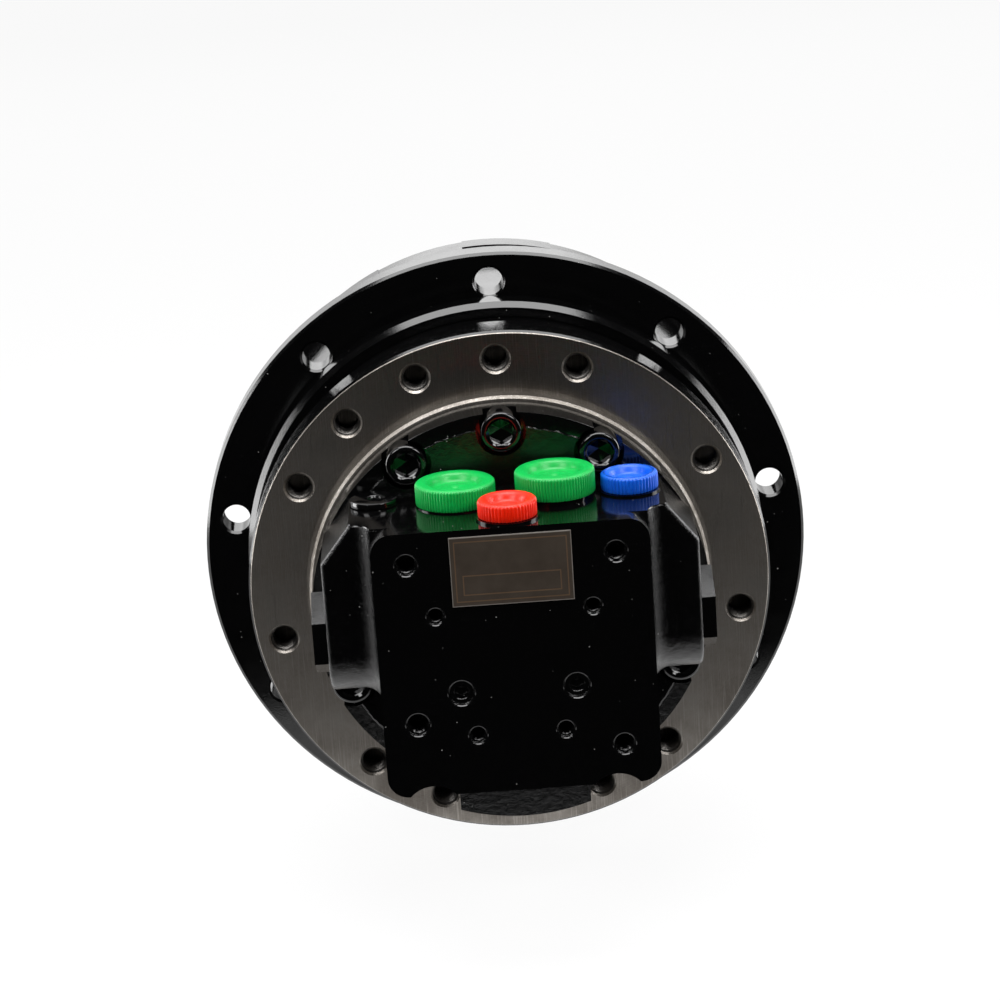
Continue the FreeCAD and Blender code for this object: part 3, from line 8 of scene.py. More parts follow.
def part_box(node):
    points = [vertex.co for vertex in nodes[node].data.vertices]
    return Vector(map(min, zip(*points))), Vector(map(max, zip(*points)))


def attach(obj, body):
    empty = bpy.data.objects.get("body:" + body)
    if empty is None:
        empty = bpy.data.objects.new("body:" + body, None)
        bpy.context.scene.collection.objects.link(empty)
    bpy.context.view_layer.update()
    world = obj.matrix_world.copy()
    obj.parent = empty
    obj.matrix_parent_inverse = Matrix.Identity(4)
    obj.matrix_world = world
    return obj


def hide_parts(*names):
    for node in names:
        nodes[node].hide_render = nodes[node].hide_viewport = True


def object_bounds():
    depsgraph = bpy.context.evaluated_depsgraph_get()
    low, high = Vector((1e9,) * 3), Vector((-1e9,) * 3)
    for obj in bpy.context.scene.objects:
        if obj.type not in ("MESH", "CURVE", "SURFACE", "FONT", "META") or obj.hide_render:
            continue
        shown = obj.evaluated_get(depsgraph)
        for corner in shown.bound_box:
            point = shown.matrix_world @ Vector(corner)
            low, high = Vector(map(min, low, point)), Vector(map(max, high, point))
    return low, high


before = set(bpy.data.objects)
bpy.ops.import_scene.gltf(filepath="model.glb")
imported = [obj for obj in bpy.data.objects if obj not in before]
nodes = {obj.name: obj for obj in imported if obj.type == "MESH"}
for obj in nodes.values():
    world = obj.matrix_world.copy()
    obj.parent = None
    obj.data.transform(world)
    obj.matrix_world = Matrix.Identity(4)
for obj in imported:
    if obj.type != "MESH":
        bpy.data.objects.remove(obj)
cad_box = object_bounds()


# ---- Viewpoint -------------------------------------------------------------------------------
# A long lens looks slightly down on the port block, with the drive axis almost straight ahead.
# The tool is tipped a little in the hand, so the view is rolled by the same amount.
view_elevation = math.radians(16.87)
view_azimuth = math.radians(-0.57)
view_roll = math.radians(-3.81)
view_distance = 1.3792
view_offset = (-0.00205, 0.03832)

towards_camera = Vector((math.sin(view_azimuth) * math.cos(view_elevation),
                         -math.cos(view_azimuth) * math.cos(view_elevation),
                         math.sin(view_elevation)))
level_right = (-towards_camera).cross(Vector((0, 0, 1))).normalized()
level_up = level_right.cross(-towards_camera)
place = towards_camera * view_distance + level_right * view_offset[0] + level_up * view_offset[1]
right = level_right * math.cos(view_roll) + level_up * math.sin(view_roll)
up = level_up * math.cos(view_roll) - level_right * math.sin(view_roll)

camera_data = bpy.data.cameras.new("long_lens")
camera_data.lens = 110.3
camera_data.sensor_width = 36.0
camera_data.clip_start = 0.05
camera = bpy.data.objects.new("long_lens", camera_data)
bpy.context.scene.collection.objects.link(camera)
camera.matrix_world = Matrix.Translation(place) @ Matrix((right, up, towards_camera)).transposed().to_4x4()
bpy.context.scene.camera = camera
bpy.context.scene.view_settings.view_transform = "Standard"


# ---- Studio ----------------------------------------------------------------------------------
# A white table that runs back and out of sight, softboxes above, behind and low at both sides, and
# a dark room in front. The gloss on the castings comes from the bright table and backdrop.
def add_node(tree, kind, **inputs):
    """A shader node with some of its sockets set by name."""
    made = tree.nodes.new(kind)
    for name, value in inputs.items():
        made.inputs[name.replace("_", " ")].default_value = value
    return made


def softbox(name, where, aim, width, height, power):
    """A rectangular lamp at a place, facing a point."""
    data = bpy.data.lights.new(name, "AREA")
    data.shape = "RECTANGLE"
    data.size = width
    data.size_y = height
    data.energy = power
    lamp = bpy.data.objects.new(name, data)
    bpy.context.scene.collection.objects.link(lamp)
    lamp.location = where
    lamp.rotation_euler = (Vector(aim) - Vector(where)).to_track_quat("-Z", "Y").to_euler()


table_height = cad_box[0][2] - 0.02
table_front = -0.17
table_back = 4.0
table_half = 2.6

table_mesh = bpy.data.meshes.new("table")
table_mesh.from_pydata([(-table_half, table_front, table_height), (table_half, table_front, table_height),
                        (table_half, table_back, table_height), (-table_half, table_back, table_height)],
                       [], [(0, 1, 2, 3)])
table = bpy.data.objects.new("table", table_mesh)
bpy.context.scene.collection.objects.link(table)

table_paper = bpy.data.materials.new("table_paper")
table_paper.use_nodes = True
tree = table_paper.node_tree
shell = tree.nodes["Principled BSDF"]
shell.inputs["Base Color"].default_value = (0.88, 0.88, 0.88, 1)
shell.inputs["Roughness"].default_value = 0.9
glow = add_node(tree, "ShaderNodeEmission", Color=(1, 1, 1, 1), Strength=1.0)
path = tree.nodes.new("ShaderNodeLightPath")
seen = tree.nodes.new("ShaderNodeMath")
seen.operation = "MAXIMUM"
share = tree.nodes.new("ShaderNodeMath")
share.operation = "MULTIPLY"
share.inputs[1].default_value = 0.9
mix = tree.nodes.new("ShaderNodeMixShader")
tree.links.new(path.outputs["Is Camera Ray"], seen.inputs[0])
tree.links.new(path.outputs["Is Glossy Ray"], seen.inputs[1])
tree.links.new(seen.outputs[0], share.inputs[0])
tree.links.new(share.outputs[0], mix.inputs["Fac"])
tree.links.new(shell.outputs["BSDF"], mix.inputs[1])
tree.links.new(glow.outputs[0], mix.inputs[2])
tree.links.new(mix.outputs[0], tree.nodes["Material Output"].inputs["Surface"])
table_mesh.materials.append(table_paper)

world = bpy.data.worlds.new("studio")
bpy.context.scene.world = world
world.use_nodes = True
tree = world.node_tree
where = tree.nodes.new("ShaderNodeTexCoord")
parts = tree.nodes.new("ShaderNodeSeparateXYZ")
room = add_node(tree, "ShaderNodeMapRange", From_Min=-0.1, From_Max=0.35, To_Min=0.012, To_Max=1.0)
path = tree.nodes.new("ShaderNodeLightPath")
backdrop = tree.nodes.new("ShaderNodeMath")
backdrop.operation = "MAXIMUM"
tree.links.new(where.outputs["Generated"], parts.inputs[0])
tree.links.new(parts.outputs["Y"], room.inputs["Value"])
tree.links.new(room.outputs["Result"], backdrop.inputs[0])
tree.links.new(path.outputs["Is Camera Ray"], backdrop.inputs[1])
tree.links.new(backdrop.outputs[0], tree.nodes["Background"].inputs["Color"])
tree.nodes["Background"].inputs["Strength"].default_value = 1.0

softbox("softbox_left", (-1.1, 0.2, 0.2), (0, 0, 0), 0.5, 0.7, 9)
softbox("softbox_right", (1.1, 0.2, 0.2), (0, 0, 0), 0.5, 0.7, 9)
softbox("softbox_top", (0.0, -0.25, 1.4), (0, 0, 0), 1.4, 0.9, 26)
softbox("softbox_upper_left", (-0.9, -1.0, 1.0), (0, 0, 0), 0.6, 0.6, 10)
softbox("softbox_upper_right", (0.9, -1.0, 1.0), (0, 0, 0), 0.6, 0.6, 10)
softbox("softbox_back", (0.0, 2.6, 1.0), (0, 0, 0), 3.0, 1.0, 9)


# ---- Black paint -----------------------------------------------------------------------------
# One coat of black machine enamel covers the castings and whatever is screwed into them. It pools
# a little, keeps the grain of the sand mould under it, and has caught some pale dust.
def detail_group():
    """Noise at two sizes and scattered specks, from one vector: outputs Coarse, Fine and Specks."""
    group = bpy.data.node_groups.new("surface detail", "ShaderNodeTree")
    group.interface.new_socket("Vector", in_out="INPUT", socket_type="NodeSocketVector")
    for name, value in (("Coarse Scale", 300.0), ("Fine Scale", 2500.0), ("Speck Scale", 260.0)):
        socket = group.interface.new_socket(name, in_out="INPUT", socket_type="NodeSocketFloat")
        socket.default_value = value
    for name in ("Coarse", "Fine", "Specks"):
        group.interface.new_socket(name, in_out="OUTPUT", socket_type="NodeSocketFloat")
    entry = group.nodes.new("NodeGroupInput")
    leave = group.nodes.new("NodeGroupOutput")
    for name, scale in (("Coarse", "Coarse Scale"), ("Fine", "Fine Scale")):
        noise = add_node(group, "ShaderNodeTexNoise", Detail=3.0, Roughness=0.55)
        group.links.new(entry.outputs["Vector"], noise.inputs["Vector"])
        group.links.new(entry.outputs[scale], noise.inputs["Scale"])
        group.links.new(noise.outputs["Fac"], leave.inputs[name])
    cells = add_node(group, "ShaderNodeTexVoronoi", Randomness=1.0)
    group.links.new(entry.outputs["Vector"], cells.inputs["Vector"])
    group.links.new(entry.outputs["Speck Scale"], cells.inputs["Scale"])
    small = add_node(group, "ShaderNodeMapRange", From_Min=0.04, From_Max=0.075, To_Min=1.0, To_Max=0.0)
    group.links.new(cells.outputs["Distance"], small.inputs["Value"])
    rare = add_node(group, "ShaderNodeSeparateColor")
    group.links.new(cells.outputs["Color"], rare.inputs["Color"])
    chosen = add_node(group, "ShaderNodeMapRange", From_Min=0.72, From_Max=0.95)
    group.links.new(rare.outputs["Red"], chosen.inputs["Value"])
    both = group.nodes.new("ShaderNodeMath")
    both.operation = "MULTIPLY"
    group.links.new(small.outputs["Result"], both.inputs[0])
    group.links.new(chosen.outputs["Result"], both.inputs[1])
    group.links.new(both.outputs[0], leave.inputs["Specks"])
    return group


surface_detail = detail_group()


def new_finish(name, colour, metallic, roughness):
    """An empty material with its shader, and surface detail laid on Object coordinates."""
    material = bpy.data.materials.new(name)
    material.use_nodes = True
    tree = material.node_tree
    shader = tree.nodes["Principled BSDF"]
    shader.inputs["Base Color"].default_value = (*colour, 1)
    shader.inputs["Metallic"].default_value = metallic
    shader.inputs["Roughness"].default_value = roughness
    coords = tree.nodes.new("ShaderNodeTexCoord")
    detail = tree.nodes.new("ShaderNodeGroup")
    detail.node_tree = surface_detail
    tree.links.new(coords.outputs["Object"], detail.inputs["Vector"])
    return material, tree, shader, coords, detail


def blend_colour(tree, fac, low, high, shader):
    """Lays a two-colour mix on the shader's base colour."""
    blend = tree.nodes.new("ShaderNodeMix")
    blend.data_type = "RGBA"
    blend.inputs[6].default_value = (*low, 1)
    blend.inputs[7].default_value = (*high, 1)
    tree.links.new(fac, blend.inputs["Factor"])
    tree.links.new(blend.outputs[2], shader.inputs["Base Color"])
    return blend


def vary_roughness(tree, value, low, high, shader):
    spread = add_node(tree, "ShaderNodeMapRange", From_Min=0.3, From_Max=0.7, To_Min=low, To_Max=high)
    tree.links.new(value, spread.inputs["Value"])
    tree.links.new(spread.outputs["Result"], shader.inputs["Roughness"])


def add_bump(tree, height, distance, shader, strength=1.0):
    bump = add_node(tree, "ShaderNodeBump", Strength=strength, Distance=distance)
    tree.links.new(height, bump.inputs["Height"])
    tree.links.new(bump.outputs["Normal"], shader.inputs["Normal"])
    return bump


def dress(material, *names):
    """Gives a material to CAD nodes."""
    for name in names:
        nodes[name].data.materials.clear()
        nodes[name].data.materials.append(material)


paint_black = (0.0011, 0.0011, 0.0012)
dust_grey = (0.5, 0.5, 0.48)

turned_paint, tree, shader, coords, detail = new_finish("paint_on_turned_face", paint_black, 0.0, 0.12)
detail.inputs["Coarse Scale"].default_value = 90.0
detail.inputs["Fine Scale"].default_value = 1600.0
blend_colour(tree, detail.outputs["Specks"], paint_black, dust_grey, shader)
vary_roughness(tree, detail.outputs["Coarse"], 0.08, 0.16, shader)
add_bump(tree, detail.outputs["Fine"], 0.00002, shader)
shader.inputs["Specular IOR Level"].default_value = 0.6
dress(turned_paint, "gear_cover_bolts", "gear_cover_plugs", "counterbalance_plugs")


def smooth_copy(name, piece_name, finish, body):
    """A CAD node's own surface with its loose triangles joined, so that its round walls shade evenly.

    Corners that agree to a micrometre become one point; edges sharper than 30 degrees stay sharp, and
    each point's normal leans towards the larger faces round it.
    """
    source = nodes[name].data
    points = np.empty(len(source.vertices) * 3, np.float32)
    source.vertices.foreach_get("co", points)
    points = points.reshape(-1, 3).astype(float)
    corners = np.empty(len(source.loops), np.int32)
    source.loops.foreach_get("vertex_index", corners)
    first, joined = np.unique(np.round(points * 1e6).astype(np.int64), axis=0,
                              return_index=True, return_inverse=True)[1:]
    faces = joined.reshape(-1)[corners].reshape(-1, 3)
    whole = (faces[:, 0] != faces[:, 1]) & (faces[:, 1] != faces[:, 2]) & (faces[:, 2] != faces[:, 0])
    mesh = bpy.data.meshes.new(piece_name)
    mesh.from_pydata(points[first].tolist(), [], faces[whole].tolist())
    mesh.shade_smooth()
    mesh.set_sharp_from_angle(angle=math.radians(30))
    mesh.materials.append(finish)
    piece = bpy.data.objects.new(piece_name, mesh)
    bpy.context.scene.collection.objects.link(piece)
    even = piece.modifiers.new("even_shading", "WEIGHTED_NORMAL")
    even.keep_sharp = True
    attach(piece, body)
    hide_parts(name)


smooth_copy("hub", "hub_enamelled", turned_paint, "hub_body")
smooth_copy("ring_gear", "ring_gear_enamelled", turned_paint, "hub_body")
smooth_copy("gear_cover", "gear_cover_enamelled", turned_paint, "hub_body")


# ---- Port block ------------------------------------------------------------------------------
# An iron casting. Its front, its port face and the flange's seats are milled flat, and the sides keep
# the fine grain of the mould, which shows through the enamel as a sparkle of small bumps.
block_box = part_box("rear_cover")
mill_front = block_box[0][1] + 0.0004
mill_top = 0.0544
flange_front = -0.028
flange_land = 0.0818


def ramp_mask(tree, value, start, end):
    """0 before start and 1 after end, along a value."""
    step = add_node(tree, "ShaderNodeMapRange", From_Min=start, From_Max=end)
    tree.links.new(value, step.inputs["Value"])
    return step.outputs["Result"]


def combine(tree, operation, first, second):
    """One Math node on two sockets, or on a socket and a number."""
    made = tree.nodes.new("ShaderNodeMath")
    made.operation = operation
    tree.links.new(first, made.inputs[0])
    if isinstance(second, (int, float)):
        made.inputs[1].default_value = second
    else:
        tree.links.new(second, made.inputs[1])
    return made.outputs[0]


def drive_axis_radius(tree, axes):
    """Distance from the drive axis."""
    flat = tree.nodes.new("ShaderNodeCombineXYZ")
    tree.links.new(axes.outputs["X"], flat.inputs["X"])
    tree.links.new(axes.outputs["Z"], flat.inputs["Z"])
    length = tree.nodes.new("ShaderNodeVectorMath")
    length.operation = "LENGTH"
    tree.links.new(flat.outputs[0], length.inputs[0])
    return length.outputs["Value"]


block_paint, tree, shader, coords, detail = new_finish("paint_on_casting", paint_black, 0.0, 0.14)
detail.inputs["Coarse Scale"].default_value = 330.0
detail.inputs["Fine Scale"].default_value = 2100.0
axes = tree.nodes.new("ShaderNodeSeparateXYZ")
tree.links.new(coords.outputs["Object"], axes.inputs[0])
radius = drive_axis_radius(tree, axes)
behind_front = ramp_mask(tree, axes.outputs["Y"], mill_front, mill_front + 0.0006)
below_top = ramp_mask(tree, axes.outputs["Z"], mill_top, mill_top - 0.0006)
cast = combine(tree, "MULTIPLY", behind_front, below_top)
ragged = combine(tree, "MULTIPLY_ADD", detail.outputs["Coarse"], 0.0016)
tree.links.new(radius, ragged.node.inputs[2])
land_edge = ramp_mask(tree, ragged, flange_land, flange_land + 0.0007)
at_flange = ramp_mask(tree, axes.outputs["Y"], flange_front - 0.0005, flange_front - 0.0002)
past_flange = ramp_mask(tree, axes.outputs["Y"], flange_front + 0.0005, flange_front + 0.0002)
on_flange = combine(tree, "MULTIPLY", at_flange, past_flange)
land = combine(tree, "MULTIPLY", on_flange, combine(tree, "SUBTRACT", land_edge, 1.0))
cast = combine(tree, "ADD", cast, land)
relief = combine(tree, "MULTIPLY_ADD", detail.outputs["Fine"], 0.55)
tree.links.new(detail.outputs["Coarse"], relief.node.inputs[2])
grain = combine(tree, "MULTIPLY", relief, cast)
drop = combine(tree, "MULTIPLY", combine(tree, "MULTIPLY", land_edge, on_flange), -1.6)
add_bump(tree, combine(tree, "ADD", grain, drop), 0.00034, shader)
blend_colour(tree, detail.outputs["Specks"], paint_black, dust_grey, shader)
vary_roughness(tree, detail.outputs["Coarse"], 0.08, 0.15, shader)
shader.inputs["Specular IOR Level"].default_value = 0.6
smooth_copy("rear_cover", "port_block_casting", block_paint, "spindle_body")


# ---- Mounting ring ---------------------------------------------------------------------------
# The spindle is a steel forging. The ring's face and its pilot are left bare where the frame seats:
# fine turning rings, oil stains and handling scratches. Everything behind the face is enamelled.
bare_depth = 0.0012
ring_radius = 0.1175
pilot_edge = 0.0912
collar_start = 0.0195
neck_radius = 0.095


def scratch_group():
    """Thin straight scratches on the XZ plane: noise drawn out along three directions, thresholded."""
    group = bpy.data.node_groups.new("handling scratches", "ShaderNodeTree")
    group.interface.new_socket("Vector", in_out="INPUT", socket_type="NodeSocketVector")
    socket = group.interface.new_socket("Scale", in_out="INPUT", socket_type="NodeSocketFloat")
    socket.default_value = 900.0
    group.interface.new_socket("Lines", in_out="OUTPUT", socket_type="NodeSocketFloat")
    entry = group.nodes.new("NodeGroupInput")
    leave = group.nodes.new("NodeGroupOutput")
    total = None
    for turn in (38.0, -47.0, 12.0):
        lay = group.nodes.new("ShaderNodeMapping")
        lay.inputs["Rotation"].default_value = (0.0, math.radians(turn), 0.0)
        lay.inputs["Scale"].default_value = (1.0, 1.0, 0.022)
        group.links.new(entry.outputs["Vector"], lay.inputs["Vector"])
        noise = add_node(group, "ShaderNodeTexNoise", Detail=1.0, Roughness=0.5)
        group.links.new(lay.outputs[0], noise.inputs["Vector"])
        group.links.new(entry.outputs["Scale"], noise.inputs["Scale"])
        line = ramp_mask(group, noise.outputs["Fac"], 0.60, 0.78)
        total = line if total is None else combine(group, "ADD", total, line)
    group.links.new(total, leave.inputs["Lines"])
    return group


handling_scratches = scratch_group()


def lay_scratches(tree, coords, scale):
    made = tree.nodes.new("ShaderNodeGroup")
    made.node_tree = handling_scratches
    made.inputs["Scale"].default_value = scale
    tree.links.new(coords.outputs["Object"], made.inputs["Vector"])
    return made.outputs["Lines"]


ring_steel, tree, shader, coords, detail = new_finish("turned_steel", (0.2, 0.18, 0.16), 1.0, 0.35)
detail.inputs["Coarse Scale"].default_value = 45.0
detail.inputs["Fine Scale"].default_value = 700.0
axes = tree.nodes.new("ShaderNodeSeparateXYZ")
tree.links.new(coords.outputs["Object"], axes.inputs[0])
radius = drive_axis_radius(tree, axes)
rings = add_node(tree, "ShaderNodeTexNoise", Scale=2600.0, Detail=2.0)
rings.noise_dimensions = "1D"
tree.links.new(radius, rings.inputs["W"])
scratches = lay_scratches(tree, coords, 1500.0)
stain = ramp_mask(tree, detail.outputs["Coarse"], 0.38, 0.66)
grain = combine(tree, "MULTIPLY", detail.outputs["Fine"], 0.35)
worn = combine(tree, "MULTIPLY_ADD", rings.outputs["Fac"], 0.25)
tree.links.new(combine(tree, "MULTIPLY", stain, 0.45), worn.node.inputs[2])
worn = combine(tree, "ADD", worn, grain)
worn = combine(tree, "ADD", worn, combine(tree, "MULTIPLY", scratches, 0.5))
bare = blend_colour(tree, worn, (0.105, 0.09, 0.076), (0.37, 0.345, 0.315), shader)
at_front = ramp_mask(tree, axes.outputs["Y"], bare_depth, bare_depth + 0.0002)
outer = ramp_mask(tree, radius, ring_radius - 0.0014, ring_radius - 0.0012)
corner = ramp_mask(tree, radius, ring_radius - 0.0010, ring_radius - 0.0008)
at_back = ramp_mask(tree, axes.outputs["Y"], collar_start, collar_start + 0.0002)
wide = ramp_mask(tree, radius, neck_radius, neck_radius + 0.0002)
rim = combine(tree, "MAXIMUM", combine(tree, "MULTIPLY", at_front, outer), corner)
painted = combine(tree, "MAXIMUM", rim, combine(tree, "MULTIPLY", at_back, wide))
edge = ramp_mask(tree, radius, pilot_edge + 0.0002, pilot_edge)
cover = tree.nodes.new("ShaderNodeMix")
cover.data_type = "RGBA"
cover.inputs[7].default_value = (*paint_black, 1)
tree.links.new(painted, cover.inputs["Factor"])
tree.links.new(bare.outputs[2], cover.inputs[6])
tree.links.new(cover.outputs[2], shader.inputs["Base Color"])
metal = combine(tree, "LESS_THAN", painted, 0.5)
tree.links.new(metal, shader.inputs["Metallic"])
sheen = add_node(tree, "ShaderNodeMapRange", From_Min=0.1, From_Max=1.2, To_Min=0.46, To_Max=0.28)
tree.links.new(worn, sheen.inputs["Value"])
dull = combine(tree, "MULTIPLY_ADD", edge, 0.15)
tree.links.new(sheen.outputs["Result"], dull.node.inputs[2])
smooth = tree.nodes.new("ShaderNodeMix")
smooth.inputs[3].default_value = 0.1
tree.links.new(painted, smooth.inputs["Factor"])
tree.links.new(dull, smooth.inputs[2])
tree.links.new(smooth.outputs[0], shader.inputs["Roughness"])
height = combine(tree, "SUBTRACT", rings.outputs["Fac"], scratches)
add_bump(tree, height, 0.000012, shader)
shader.inputs["Anisotropic"].default_value = 0.5
around_axis = tree.nodes.new("ShaderNodeTangent")
around_axis.direction_type = "RADIAL"
around_axis.axis = "Y"
tree.links.new(around_axis.outputs[0], shader.inputs["Tangent"])
dress(ring_steel, "spindle")


def internal_thread(nominal, pitch, depth, mouth, where, turns_round=40):
    """A cut thread lining a hole along Y.

    On a grid of angle u and depth v the radius is the nominal one less a triangle wave of v / pitch
    plus u / (2 pi), so the crest climbs as a helix; it fades to the hole's wall at both ends.
    """
    steps = int(depth / pitch * 8)
    u = np.linspace(0, 2 * np.pi, turns_round, endpoint=False)[None, :]
    v = np.linspace(0, depth, steps)[:, None]
    wave = np.abs(2 * np.mod(v / pitch + u / (2 * np.pi), 1) - 1)
    fade = np.clip(v / pitch, 0, 1) * np.clip((depth - v) / pitch, 0, 1)
    r = nominal - 0.00002 - 0.54 * pitch * wave * fade
    x = where[0] + r * np.sin(u)
    z = where[1] + r * np.cos(u)
    y = mouth + v + 0 * u
    points = np.stack([x, y, z], axis=-1).reshape(-1, 3)
    row = np.arange(steps - 1)[:, None] * turns_round
    col = np.arange(turns_round)[None, :]
    after = (col + 1) % turns_round
    faces = np.stack([row + col, row + after, row + after + turns_round, row + col + turns_round], axis=-1)
    return points, faces.reshape(-1, 4)


def make_piece(name, shapes, material, smooth=True):
    """One mesh object from several (points, faces) surfaces."""
    points = []
    faces = []
    base = 0
    for some_points, some_faces in shapes:
        points.append(some_points)
        faces.extend((np.asarray(some_faces) + base).tolist())
        base += len(some_points)
    mesh = bpy.data.meshes.new(name)
    mesh.from_pydata(np.concatenate(points).tolist(), [], faces)
    mesh.validate()
    mesh.shade_smooth() if smooth else mesh.shade_flat()
    mesh.materials.append(material)
    piece = bpy.data.objects.new(name, mesh)
    bpy.context.scene.collection.objects.link(piece)
    return piece


thread_steel, tree, shader, coords, detail = new_finish("cut_thread", (0.10, 0.095, 0.09), 1.0, 0.35)
detail.inputs["Coarse Scale"].default_value = 200.0
blend_colour(tree, detail.outputs["Coarse"], (0.05, 0.045, 0.04), (0.22, 0.21, 0.20), shader)
vary_roughness(tree, detail.outputs["Fine"], 0.3, 0.5, shader)

frame_circle = 0.105
frame_clocks = (0, 20, 60, 100, 140, 160, 200, 220, 260, 300, 320, 340)
threads = []
for clock in frame_clocks:
    angle = math.radians(clock)
    centre = (frame_circle * math.sin(angle), frame_circle * math.cos(angle))
    threads.append(internal_thread(0.006, 0.00175, 0.0145, 0.0009, centre))
frame_threads = make_piece("frame_bolt_threads", threads, thread_steel)
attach(frame_threads, "spindle_body")

# ---- Transport caps --------------------------------------------------------------------------
# Moulded plastic plugs screwed into the ports until the hoses go on: a ribbed grip, a rounded rim,
# and a sunk top with the mark of the moulding gate in its middle.
def ribbed_cap(centre, seat, radius, height, ribs, stem_radius, stem_length, dish_share, boss_share):
    """A closed surface turned about a vertical line.

    Each profile row has a radius, a height and a share of ribbing; the radius loses that share of a
    narrow groove, the square of a half cosine of ribs times the angle, so the ridges stay broad.
    """
    top = height
    dish = dish_share * radius
    boss = boss_share * radius
    profile = np.array([
        (0.0, -stem_length, 0), (stem_radius - 0.0008, -stem_length, 0), (stem_radius, -stem_length + 0.0008, 0),
        (stem_radius, -0.0012, 0), (stem_radius - 0.0005, -0.0006, 0), (stem_radius, 0.0, 0),
        (radius - 0.0012, 0.0, 0.3), (radius - 0.0003, 0.0001, 0.8), (radius, 0.0005, 1),
        (radius, top * 0.4, 1), (radius, top - 0.0015, 1), (radius - 0.00010, top - 0.0010, 0.9),
        (radius - 0.0004, top - 0.0006, 0.5), (radius - 0.0009, top - 0.0002, 0.12), (radius - 0.0017, top, 0),
        (dish + 0.0022, top, 0), (dish + 0.0010, top - 0.0003, 0), (dish + 0.0002, top - 0.0010, 0),
        (dish - 0.0004, top - 0.0024, 0), (dish - 0.0009, top - 0.0034, 0), (dish - 0.0020, top - 0.0038, 0),
        (boss + 0.0008, top - 0.0038, 0), (boss, top - 0.0034, 0), (boss - 0.0008, top - 0.0032, 0),
        (0.0022, top - 0.0032, 0), (0.0015, top - 0.0036, 0), (0.0009, top - 0.0040, 0),
        (0.0, top - 0.0040, 0)])
    around = ribs * 8
    u = np.linspace(0, 2 * np.pi, around, endpoint=False)[None, :]
    groove = 0.00055 * (0.5 - 0.5 * np.cos(ribs * u)) ** 2
    r = profile[:, :1] - profile[:, 2:] * groove
    x = centre[0] + r * np.cos(u)
    y = centre[1] + r * np.sin(u)
    z = seat + profile[:, 1:2] + 0 * u
    points = np.stack([x, y, z], axis=-1).reshape(-1, 3)
    row = np.arange(len(profile) - 1)[:, None] * around
    col = np.arange(around)[None, :]
    after = (col + 1) % around
    faces = np.stack([row + col, row + after, row + after + around, row + col + around], axis=-1)
    return points, faces.reshape(-1, 4)


def cap_plastic(name, colour, dark):
    """Satin moulded plastic: slight flow clouding that darkens it in random patches, and a fine grain."""
    material, tree, shader, coords, detail = new_finish(name, colour, 0.0, 0.38)
    detail.inputs["Coarse Scale"].default_value = 120.0
    detail.inputs["Fine Scale"].default_value = 1400.0
    cloud = add_node(tree, "ShaderNodeMapRange", From_Min=0.42, From_Max=0.75, To_Min=0.0, To_Max=0.45)
    tree.links.new(detail.outputs["Coarse"], cloud.inputs["Value"])
    blend_colour(tree, cloud.outputs["Result"], colour, dark, shader)
    vary_roughness(tree, detail.outputs["Fine"], 0.3, 0.45, shader)
    add_bump(tree, detail.outputs["Fine"], 0.00003, shader)
    shader.inputs["Subsurface Weight"].default_value = 0.12
    shader.inputs["Subsurface Radius"].default_value = (0.002, 0.002, 0.002)
    return material


cap_green = cap_plastic("green_cap_plastic", (0.0, 0.40, 0.065), (0.0, 0.26, 0.035))
cap_red = cap_plastic("red_cap_plastic", (0.90, 0.016, 0.0), (0.62, 0.006, 0.0))
cap_blue = cap_plastic("blue_cap_plastic", (0.0, 0.105, 0.66), (0.0, 0.05, 0.40))

port_face = 0.0547
for name, body, material, slot, ribs, stem_radius, seat_height, dish_share, boss_share in (
        ("port_cap_left", "cap_left", cap_green, "green_plastic", 80, 0.01035, 0.0005, 0.66, 0.40),
        ("port_cap_right", "cap_right", cap_green, "green_plastic", 80, 0.01035, 0.0020, 0.66, 0.40),
        ("drain_port_cap", "cap_drain", cap_red, "red_plastic", 50, 0.00785, 0.0010, 0.64, 0.38),
        ("pilot_port_cap", "cap_pilot", cap_blue, "blue_plastic", 48, 0.00635, 0.0008, 0.70, 0.45)):
    low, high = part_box(name)
    centre = ((low.x + high.x) / 2, (low.y + high.y) / 2)
    seat = port_face + seat_height
    shapes = [ribbed_cap(centre, seat, (high.x - low.x) / 2, high.z - seat, ribs, stem_radius,
                         seat - low.z, dish_share, boss_share)]
    cap = make_piece(name + "_moulded", shapes, material)
    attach(cap, body)
    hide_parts(name)


